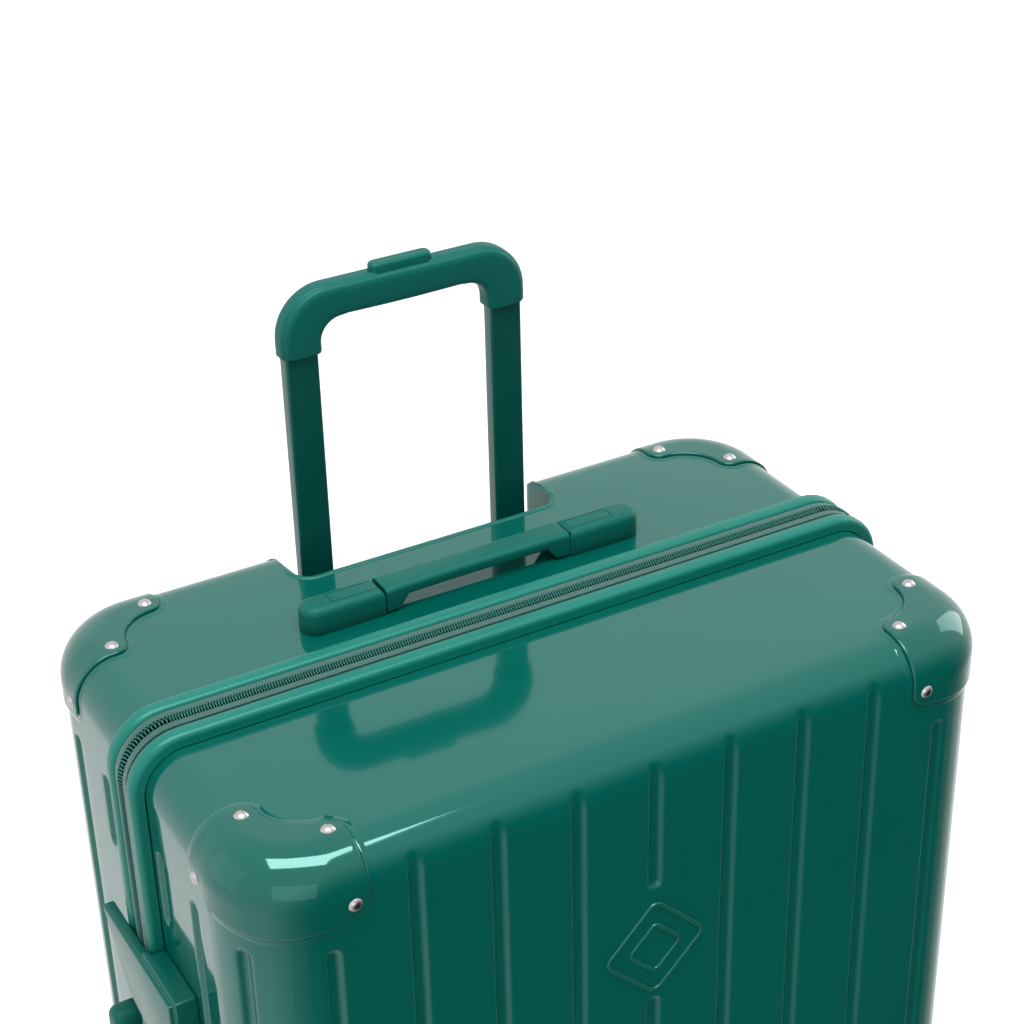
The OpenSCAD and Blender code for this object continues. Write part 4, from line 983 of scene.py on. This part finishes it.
def grip_section(thick):
    """Section loop in (depth, height) across the grip: rounded inside, a fine step near the top edge."""
    t = thick / mm
    side = [(d - 4.5, 0), (d - 2.8, 0.35), (d - 1.2, 1.3), (d - 0.3, 2.8), (d, 4.6), (d, t * 0.5),
            (d, t - 6.5), (d - 0.2, t - 4.8), (d - 0.8, t - 3.2), (d - 1.6, t - 2.2), (d - 2.0, t - 2.05),
            (d - 2.3, t - 1.6), (d - 3.0, t - 0.7), (d - 4.2, t - 0.12),
            (d - 5.6, t)]
    return [(a * mm, b * mm) for a, b in side + [(-a, b) for a, b in reversed(side)]]


rows = []
for outer_pt, inner_pt in stations:
    o, i = np.array(outer_pt), np.array(inner_pt)
    thick = np.linalg.norm(o - i)
    way = (o - i) / thick
    rows.append([(i[0] + way[0] * b, tube_y + a, i[1] + way[1] * b) for a, b in grip_section(thick)])
grip = build("pull_grip", [(np.array(rows), False, True, True)], crease=40)
button_low, button_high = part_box("push_button")
button_w, button_d = button_high.x, button_high.y - tube_y


def button_outline(inset, grow=0.0):
    w, dd = button_w + grow, button_d + grow
    return rounded_outline(-w, w, tube_y - dd, tube_y + dd, [4.6 * mm + grow] * 4, inset, 6)


well = prism("button_well", button_outline(0, 0.4 * mm), button_low.z - 4.4 * mm, grip_high.z + 4 * mm)
grip = cut(grip, well)
settle(grip.data, closed=False, crease=40)
fit(grip, handle_matt, "grip_stage", "handle", "grip")
button_levels = soft_levels(button_low.z, button_high.z, 2.4 * mm, foot=0.4 * mm)
button_levels.append((3.4 * mm, button_high.z - 0.15 * mm))
button = build("push_button_cap", [(stacked(button_outline, button_levels), False, True, True)])
fit(button, handle_matt, "grip_button", "handle", "push_button")

# --- Carry handles ------------------------------------------------------------------------------
# Two matt end caps are screwed to the case from inside. A springy bar slides in them, and lifts a
# little when it is pulled. Each cap has a fine engraved frame on its top.

caps_low, caps_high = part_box("top_handle_caps")
carry_half, carry_y = caps_high.x, (caps_low.y + caps_high.y) / 2
carry_w, carry_h, cap_len = (caps_high.y - caps_low.y) / 2, caps_high.z - z_top, 53 * mm
bar_half = carry_half - cap_len - 0.5 * mm


def on_top(grid):
    return grid + np.array([0, carry_y, z_top])


def on_left(grid):
    return np.stack([-half_w - grid[..., 2], grid[..., 1] + carry_y, z_mid + grid[..., 0]], -1)


def cap_grid(sx):
    """An end cap lying along X on z = 0, with a round outer end and a rounded top edge."""
    inner_end = carry_half - cap_len

    def outline(inset):
        radii = [9.5 * mm, 1.4 * mm, 1.4 * mm, 9.5 * mm]
        pts = rounded_outline(inner_end, carry_half, -carry_w, carry_w, radii, inset, 8)
        return [(sx * x, y) for x, y in pts]

    top_edge = [(0.1, 5.0), (0.5, 3.4), (1.4, 1.9), (2.6, 0.8), (3.8, 0.2), (5.0, 0.0)]
    return stacked(outline, [(0.4 * mm, 0.0), (0.0, 0.5 * mm), (0.0, 6 * mm)]
                   + [(inset * mm, carry_h - drop * mm) for inset, drop in top_edge])


def frame_tool(name, place, sx):
    """A thin rectangular ring that engraves the frame on a cap's top."""
    x0, x1 = carry_half - cap_len + 3 * mm, carry_half - 19 * mm

    def outline(inset):
        return [(sx * x, y) for x, y in
                rounded_outline(x0, x1, -5.2 * mm, 5.2 * mm, [0.8 * mm] * 4, inset, 2)]

    floor_z, clear_z, line_w = carry_h - 0.45 * mm, carry_h + 2 * mm, 0.5 * mm
    rows = stacked(outline, [(0, floor_z), (0, clear_z), (line_w, clear_z), (line_w, floor_z)])
    return build(name, [(place(rows), True, True, False)])


def slot_tool(name, place, sx):
    """The slot in a cap's inner end that a bar's flat end slides in."""
    x0, x1 = sx * (carry_half - cap_len - 3 * mm), sx * (carry_half - 9 * mm)
    half, low, high = 8.5 * mm, 1.7 * mm, 15.2 * mm
    rows = np.array([[(x, y, z) for y, z in ((-half, low), (half, low), (half, high), (-half, high))]
                     for x in (x0, x1)])
    return build(name, [(place(rows), False, True, True)])


def bar_grid():
    """The bar along X: thick at its ends, waisted and raised clear of the shell in between."""
    rows = []
    for x in np.concatenate([np.linspace(-bar_half, -48 * mm, 14), np.linspace(-44 * mm, 44 * mm, 23),
                             np.linspace(48 * mm, bar_half, 14)]):
        along = abs(x) / bar_half
        low = 9.2 * mm - 8.4 * mm * min(1, max(0, (abs(x) - 49 * mm) / (6.5 * mm)))
        top = carry_h - 0.25 * mm - 0.5 * mm * max(0, 1 - (1 - along) * 14)
        half = carry_w - 0.2 * mm - 1.3 * mm * (1 - along ** 2)
        loop = []
        for cx, cz, a0, r in ((half, top, 0, 3.6 * mm), (-half, top, 90, 3.6 * mm),
                              (-half, low, 180, 2.0 * mm), (half, low, 270, 2.0 * mm)):
            sx, sz = (1 if cx > 0 else -1), (1 if cz == top else -1)
            loop += [(x, cx - sx * r + r * math.cos(a), cz - sz * r + r * math.sin(a))
                     for a in [math.radians(a0 + 15 * k) for k in range(7)]]
        rows.append(loop)
    return np.array(rows)


def tongue_grid(sx):
    """The flat end of a bar, hidden in its cap."""
    half, low, high = 8 * mm, 2.2 * mm, 6.2 * mm
    return np.array([[(sx * x, y, z) for y, z in ((-half, low), (half, low), (half, high), (-half, high))]
                     for x in (bar_half - 1 * mm, bar_half + 34 * mm)])


for side, place, bar_body in (("top", on_top, "top_bar"), ("side", on_left, "side_bar")):
    for sx in (-1, 1):
        cap = build(f"{side}_cap_{'low' if sx < 0 else 'high'}", [(place(cap_grid(sx)), False, True, True)],
                    crease=50)
        cap = cut(cap, slot_tool("slot_tool", place, sx), frame_tool("frame_tool", place, sx))
        settle(cap.data, closed=False, crease=40)
        fit(cap, handle_matt, "rear_case", "handle", *([side + "_handle_caps"] if sx > 0 else []))
    bar = build(side + "_carry_bar", [(place(bar_grid()), False, True, True)]
                + [(place(tongue_grid(sx)), False, True, True) for sx in (-1, 1)], crease=45)
    fit(bar, handle_matt, bar_body, "handle", side + "_handle_bar")

# --- Lock ---------------------------------------------------------------------------------------
# A satin housing on the left side carries three number wheels and a release slide. Its tongue reaches
# over the zipper to the rear half.

body_of_node = {n: b for b, ns in frame["record"]["behaviour"]["bodies"].items() for n in ns}


def rounded_copy(node, radius, segments, material, slot, crease=35):
    """A clean copy of a CAD piece with its sharp edges rounded over."""
    mesh = nodes[node].data.copy()
    work = bmesh.new()
    work.from_mesh(mesh)
    bmesh.ops.remove_doubles(work, verts=work.verts, dist=2e-6)
    bmesh.ops.dissolve_limit(work, angle_limit=math.radians(0.6), verts=work.verts, edges=work.edges)
    work.to_mesh(mesh)
    work.free()
    obj = bpy.data.objects.new(node + "_made", mesh)
    bpy.context.scene.collection.objects.link(obj)
    mod = obj.modifiers.new("edges", "BEVEL")
    mod.width, mod.segments = radius, segments
    mod.limit_method, mod.angle_limit = "ANGLE", math.radians(crease)
    mod.miter_outer = "MITER_ARC"
    mod.harden_normals = False
    applied(obj)
    obj.data.shade_smooth()
    obj.data.set_sharp_from_angle(angle=math.radians(crease))
    return fit(obj, material, body_of_node[node], slot, node)


lock_satin = finish("lock_satin", (0.0, 0.068, 0.053), 0.27, pebble, [("Size", 800.0), ("Variation", 0.12)],
                    bump=0.10, bump_size=0.04 * mm, coat=0.2, coat_roughness=0.08, cast=lacquer)
rounded_copy("lock_housing", 1.5 * mm, 4, lock_satin, "pan")
rounded_copy("lock_slide", 0.8 * mm, 3, black_nylon, "black_plastic")
dial_pale = finish("dial_pale", (0.56, 0.56, 0.53), 0.42, pebble, [("Size", 1500.0), ("Variation", 0.1)],
                   bump=0.08, bump_size=0.03 * mm)
dial_ink = finish("dial_ink", (0.02, 0.02, 0.02), 0.5, pebble, [("Size", 1500.0), ("Variation", 0.1)])
for k in (1, 2, 3):
    node = f"lock_dial_{k}"
    low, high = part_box(node)
    rounded_copy(node, 0.25 * mm, 2, dial_pale, "dial")
    centre = (low + high) / 2
    points, faces = [], []
    for digit in range(10):
        text = bpy.data.curves.new("digit", "FONT")
        text.body, text.size, text.extrude = str(digit), 3.6 * mm, 0.1 * mm
        text.align_x = text.align_y = "CENTER"
        glyph = bpy.data.objects.new("digit", text)
        bpy.context.scene.collection.objects.link(glyph)
        bpy.context.view_layer.update()
        shape = bpy.data.meshes.new_from_object(glyph)
        a = math.pi + math.radians(18 + 36 * digit)
        place = (Matrix.Translation(centre) @ Matrix.Rotation(a, 4, "Z")
                 @ Matrix.Translation((high.x - centre.x + 0.02 * mm, 0, 0))
                 @ Matrix(((0, 0, 1, 0), (1, 0, 0, 0), (0, 1, 0, 0), (0, 0, 0, 1))))
        shape.transform(place)
        start = len(points)
        points += [tuple(v.co) for v in shape.vertices]
        faces += [[start + i for i in f.vertices] for f in shape.polygons]
        bpy.data.objects.remove(glyph)
    digits_mesh = bpy.data.meshes.new(f"dial_digits_{k}")
    digits_mesh.from_pydata(points, [], faces)
    digits = bpy.data.objects.new(f"dial_digits_{k}", digits_mesh)
    bpy.context.scene.collection.objects.link(digits)
    fit(digits, dial_ink, f"dial_{k}", "dial")

# --- Emblem -------------------------------------------------------------------------------------
# A generic raised outline in the shell's own gloss: two rounded diamonds, one in the other.

emblem_low, emblem_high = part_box("front_emblem")
emblem_z = (emblem_low.z + emblem_high.z) / 2
ridge_section = [(-1.25, -0.1), (-1.2, 0.5), (-0.85, 1.0), (-0.3, 1.2), (0.3, 1.2), (0.85, 1.0), (1.2, 0.5),
                 (1.25, -0.1)]
ridges = []
for scale in (1.0, 0.55):
    half = scale * 25.5 * mm
    mid = half - 1.25 * mm
    ring = rounded_outline(-mid, mid, -mid, mid, [5 * mm * scale + 1 * mm] * 4, 0, 8)
    rows = []
    for i, (x, y) in enumerate(ring):
        (xa, ya), (xb, yb) = ring[i - 1], ring[(i + 1) % len(ring)]
        t = np.array([xb - xa, yb - ya])
        n = np.array([t[1], -t[0]]) / np.linalg.norm(t)
        loop = []
        for o, h in ridge_section:
            u, v = x + n[0] * o * mm, y + n[1] * o * mm
            loop.append(((u - v) * math.sqrt(0.5), -half_d - h * mm, emblem_z + (u + v) * math.sqrt(0.5)))
        rows.append(loop)
    ridges.append((np.array(rows), True, True, False))
fit(build("emblem_ridges", ridges, crease=50), shell_gloss, "front_case", "emblem", "front_emblem")

# --- Sliders and pulls --------------------------------------------------------------------------
# Two enamelled sliders run on the coil of the left side, each with a flat pull.

enamel = finish("enamel", (0.0, 0.090, 0.072), 0.25, handling,
                [("Dullness", 0.1), ("Scuffs", 0.3), ("Ripple", 0)], coat=0.8, coat_roughness=0.06)
rounded_copy("zipper_sliders", 0.5 * mm, 3, enamel, "slider")
rounded_copy("zipper_pull_upper", 0.35 * mm, 2, enamel, "slider")
rounded_copy("zipper_pull_lower", 0.35 * mm, 2, enamel, "slider")

# --- Side feet ----------------------------------------------------------------------------------
# Rubber feet on the right side, with a ring moulded in their end, for standing the case on its side.

foot_rubber = finish("foot_rubber", (0.0, 0.045, 0.037), 0.62, pebble, [("Size", 600.0), ("Variation", 0.2)],
                     bump=0.35, bump_size=0.06 * mm)
for half, zs, body in (("rear", (120, 580), "rear_case"), ("front", (160, 540), "front_case")):
    low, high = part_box(half + "_side_feet")
    foot_y, foot_h = (low.y + high.y) / 2, high.x - half_w
    profile = [(14.0, -0.1), (14.0, 2.8), (13.4, 3.7), (12.4, 4.0), (11.5, 4.3), (11.05, 5.2), (11.0, 15.8),
               (10.6, 17.2), (9.6, 18.0), (8.0, 18.0), (7.7, 17.4), (6.9, 17.4), (6.6, 18.0), (0.0, 18.0)]
    peg = lathe("peg", [(r * mm, h * mm * foot_h / (18 * mm)) for r, h in profile], 40)
    places = [(half_w, foot_y, z_bottom + z * mm) for z in zs]
    fit(set_in_rows(half + "_rubber_feet", peg, places, [facing((1, 0, 0))] * 2, foot_rubber), foot_rubber,
        body, "foot", half + "_side_feet")

# --- Casters ------------------------------------------------------------------------------------
# Four nylon swivel forks on moulded plates, each with two wheels: a hard ribbed core under a soft tread.

caster_nylon = finish("caster_nylon", (0.0, 0.050, 0.041), 0.42, pebble,
                      [("Size", 800.0), ("Variation", 0.15)],
                      bump=0.2, bump_size=0.05 * mm)
tread_rubber = finish("tread_rubber", (0.012, 0.026, 0.023), 0.55, pebble,
                      [("Size", 500.0), ("Variation", 0.25)],
                      bump=0.35, bump_size=0.08 * mm)
for half, body in (("front", "front_case"), ("rear", "rear_case")):
    rounded_copy(half + "_caster_plates", 1.0 * mm, 3, caster_nylon, "caster", crease=40)
    screws = nodes[half + "_caster_screws"].data
    low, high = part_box(half + "_caster_screws")
    parts_xy = sorted({(round(v.co.x / mm), round(v.co.y / mm)) for v in screws.vertices})
    centres = []
    for x, y in parts_xy:
        if all(math.dist((x, y), c[0]) > 12 for c in centres):
            group = [v.co for v in screws.vertices if math.dist((v.co.x / mm, v.co.y / mm), (x, y)) < 9]
            xs, ys = [c.x for c in group], [c.y for c in group]
            centres.append(((x, y), ((min(xs) + max(xs)) / 2, (min(ys) + max(ys)) / 2)))
    head = lathe("screw_head", [(3.3 * mm, 0.0), (3.2 * mm, 0.5 * mm), (2.6 * mm, 1.15 * mm),
                                (1.6 * mm, 1.45 * mm), (0.0, 1.5 * mm)], 20)
    slot_x, slot_y = 2 * mm, 0.35 * mm
    slot_corners = [(-slot_x, -slot_y), (slot_x, -slot_y), (slot_x, slot_y), (-slot_x, slot_y)]
    slot_grid = np.array([[(x, y, z) for x, y in slot_corners] for z in (0.7 * mm, 3 * mm)])
    slot = build("cross_tool", [(slot_grid, False, True, True)])
    turned = slot.copy()
    turned.data = slot.data.copy()
    turned.data.transform(Matrix.Rotation(math.pi / 2, 4, "Z"))
    bpy.context.scene.collection.objects.link(turned)
    head = cut(head, slot, turned)
    places = [(c[0], c[1], low.z + 1.6 * mm) for _, c in centres]
    turns = [facing((0, 0, -1))] * len(places)
    fit(set_in_rows(half + "_plate_screws", head, places, turns, chrome), chrome, body, "screw",
        half + "_caster_screws")

for corner in ("front_left", "front_right", "rear_left", "rear_right"):
    rounded_copy("caster_fork_" + corner, 0.7 * mm, 3, caster_nylon, "caster", crease=40)
    for which in ("inner", "outer"):
        node = f"wheel_{corner}_{which}"
        low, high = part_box(node)
        r, w = (high.z - low.z) / 2, high.x - low.x
        centre = (low + high) / 2
        swivel = (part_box("caster_fork_" + corner)[0].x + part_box("caster_fork_" + corner)[1].x) / 2
        out = 1 if centre.x > swivel else -1
        bore_r, edge = 2.55 * mm, w / 2
        web = [(bore_r, edge), (7.5 * mm, edge), (8.6 * mm, edge - 1.8 * mm), (17.5 * mm, edge - 2.2 * mm),
               (18.6 * mm, edge - 0.3 * mm), (19.6 * mm, edge)]
        round_edge = [(r - 2.8 * mm, edge), (r - 1.2 * mm, edge - 0.5 * mm), (r - 0.3 * mm, edge - 1.5 * mm),
                      (r, edge - 2.8 * mm), (r, 0.6 * mm), (r - 0.35 * mm, 0.35 * mm)]
        tread = web + round_edge + [(rr, -h) for rr, h in reversed(round_edge)] + [(bore_r, -edge)]
        angles = np.radians(np.arange(0, 360, 7.5))
        ring = np.array([[(centre.x + out * h, centre.y + rr * math.cos(a), centre.z + rr * math.sin(a))
                          for a in angles] for rr, h in tread])
        grids = [(ring, True, True, False)]
        for k in range(8):
            a = math.radians(45 * k)
            along, across = np.array([0, math.cos(a), math.sin(a)]), np.array([0, -math.sin(a), math.cos(a)])
            rib = [[np.array(centre) + np.array([out * h, 0, 0]) + along * rr + across * s for s, h in
                    ((-0.8 * mm, edge - 2.6 * mm), (-0.6 * mm, edge - 0.9 * mm), (0.6 * mm, edge - 0.9 * mm),
                     (0.8 * mm, edge - 2.6 * mm))]
                   for rr in (7.2 * mm, 18.8 * mm)]
            grids.append((np.array(rib), False, True, True))
        wheel = build(node + "_made", grids, crease=30)
        fit(wheel, tread_rubber, node, "wheel", node)

# --- Lining -------------------------------------------------------------------------------------
# Plain woven cloth lines both halves. The front half has a zipped divider panel; the rear half has a
# false floor over the handle tubes and two straps that join in a buckle.

lining_cloth = finish("lining_cloth", (0.085, 0.094, 0.098), 0.85, weave, [("Threads per metre", 1200.0)],
                      bump=0.5, bump_size=0.2 * mm, sheen=0.4)
binding_cloth = finish("binding_cloth", (0.02, 0.022, 0.023), 0.8, weave, [("Threads per metre", 1500.0)],
                       bump=0.6, bump_size=0.2 * mm)
lining_gap, lining_t = 7 * mm, 1.2 * mm
front_cloth = half_tray("front_cloth", -1, [], skin=-lining_gap, thick=lining_t)
fit(front_cloth, lining_cloth, "front_case", "lining", "front_lining")
strap_low, strap_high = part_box("packing_straps")
false_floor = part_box("rear_lining")[1].y
rear_cloth = half_tray("rear_cloth", 1, [], skin=-lining_gap, thick=lining_t)
for v in rear_cloth.data.vertices:
    limit = false_floor
    if v.co.y > limit - lining_t:
        v.co.y = limit if v.index < len(rear_cloth.data.vertices) // 2 else limit - lining_t
bay_side, bay_front = pan_half + 2.2 * mm, pan_front - 2.2 * mm
bay_tool = prism("bay_tool", [(-bay_side, bay_front), (bay_side, bay_front), (bay_side, half_d),
                              (-bay_side, half_d)], pan_floor - 2 * mm, z_top + 5 * mm)
cut(rear_cloth, bay_tool)
rear_cloth.data.shade_smooth()
rear_cloth.data.set_sharp_from_angle(angle=math.radians(50))
fit(rear_cloth, lining_cloth, "rear_case", "lining", "rear_lining")

panel_low, panel_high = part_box("divider_panel")


def panel_outline(inset):
    return rounded_outline(panel_low.x, panel_high.x, panel_low.z, panel_high.z, [17 * mm] * 4, inset, 8)


def upright(grid):
    """A grid drawn in X and Z with its height along Y."""
    return grid[..., [0, 2, 1]]


panel_back, panel_face = panel_low.y, panel_high.y
rounding = 0.4 * mm
dip = [(i * mm, panel_face - 0.25 * mm * math.sin(min(i, 40) / 40 * math.pi))
       for i in (6, 14, 24, 40, 80, 140, 200)]
panel = stacked(panel_outline, [(rounding, panel_back), (0, panel_back + rounding),
                                (0, panel_face - rounding), (rounding, panel_face)] + dip)
fit(build("divider_cloth", [(upright(panel), False, True, True)], crease=50), lining_cloth, "front_case",
    "lining", "divider_panel")
binding_section = [(0.2, -0.3), (0.2, 0.5), (1.0, 0.9), (7.5, 0.7), (8.2, 0.2), (8.2, -0.3)]
binding = stacked(panel_outline, [(inset * mm, panel_face + h * mm) for inset, h in binding_section])
fit(build("divider_binding", [(upright(binding), True, True, False)], crease=50), binding_cloth, "front_case",
    "lining")
thread_r = 0.28 * mm
stitch_grid = np.array([[(x * mm, r * thread_r * math.cos(a), r * thread_r * math.sin(a))
                         for a in np.radians((0, 60, 120, 180, 240, 300))]
                        for x, r in ((-1.1, 0.5), (-0.7, 1), (0.7, 1), (1.1, 0.5))])
stitch = build("stitch", [(stitch_grid, False, True, True)], crease=80)
ring = panel_outline(6.6 * mm)
places, turns = [], []
for i, (x, y) in enumerate(ring):
    xb, yb = ring[(i + 1) % len(ring)]
    length = math.dist((x, y), (xb, yb))
    count = max(1, int(length / (3.2 * mm)))
    for k in range(count):
        places.append((x + (xb - x) * k / count, panel_face + 0.85 * mm, y + (yb - y) * k / count))
        turns.append(Matrix.Rotation(-math.atan2(yb - y, xb - x), 4, "Y").to_quaternion())
thread = finish("thread", (0.12, 0.13, 0.13), 0.7, pebble, [("Size", 3000.0), ("Variation", 0.1)])
fit(set_in_rows("divider_stitches", stitch, places, turns, thread), thread, "front_case", "lining")

strap_half, strap_z = (strap_high.z - strap_low.z) / 2, (strap_high.z + strap_low.z) / 2
bands = []
buckle_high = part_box("strap_buckle")[1]
for sx in (-1, 1):
    rows = []
    for x in np.linspace(buckle_high.x - 1 * mm, strap_high.x, 24):
        sag = 0.25 * mm * math.sin(x / (24 * mm))
        y0, y1 = strap_low.y + 0.25 * mm + sag * 0.5, strap_high.y - 0.1 * mm
        rows.append([(sx * x, y0 + 0.25 * mm * (abs(u) > 0.9), strap_z + u * strap_half)
                     for u in (-1, -0.93, -0.5, 0, 0.5, 0.93, 1)]
                    + [(sx * x, y1, strap_z + u * strap_half) for u in (1, 0.5, 0, -0.5, -1)])
    bands.append((np.array(rows), False, True, True))
webbing = finish("webbing", (0.018, 0.019, 0.02), 0.75, weave, [("Threads per metre", 700.0)], bump=0.8,
                 bump_size=0.3 * mm)
fit(build("strap_bands", bands, crease=50), webbing, "rear_case", "webbing", "packing_straps")
rounded_copy("strap_buckle", 1.2 * mm, 4, black_nylon, "black_plastic")
rounded_copy("tube_foot", 1.0 * mm, 3, black_nylon, "black_plastic")
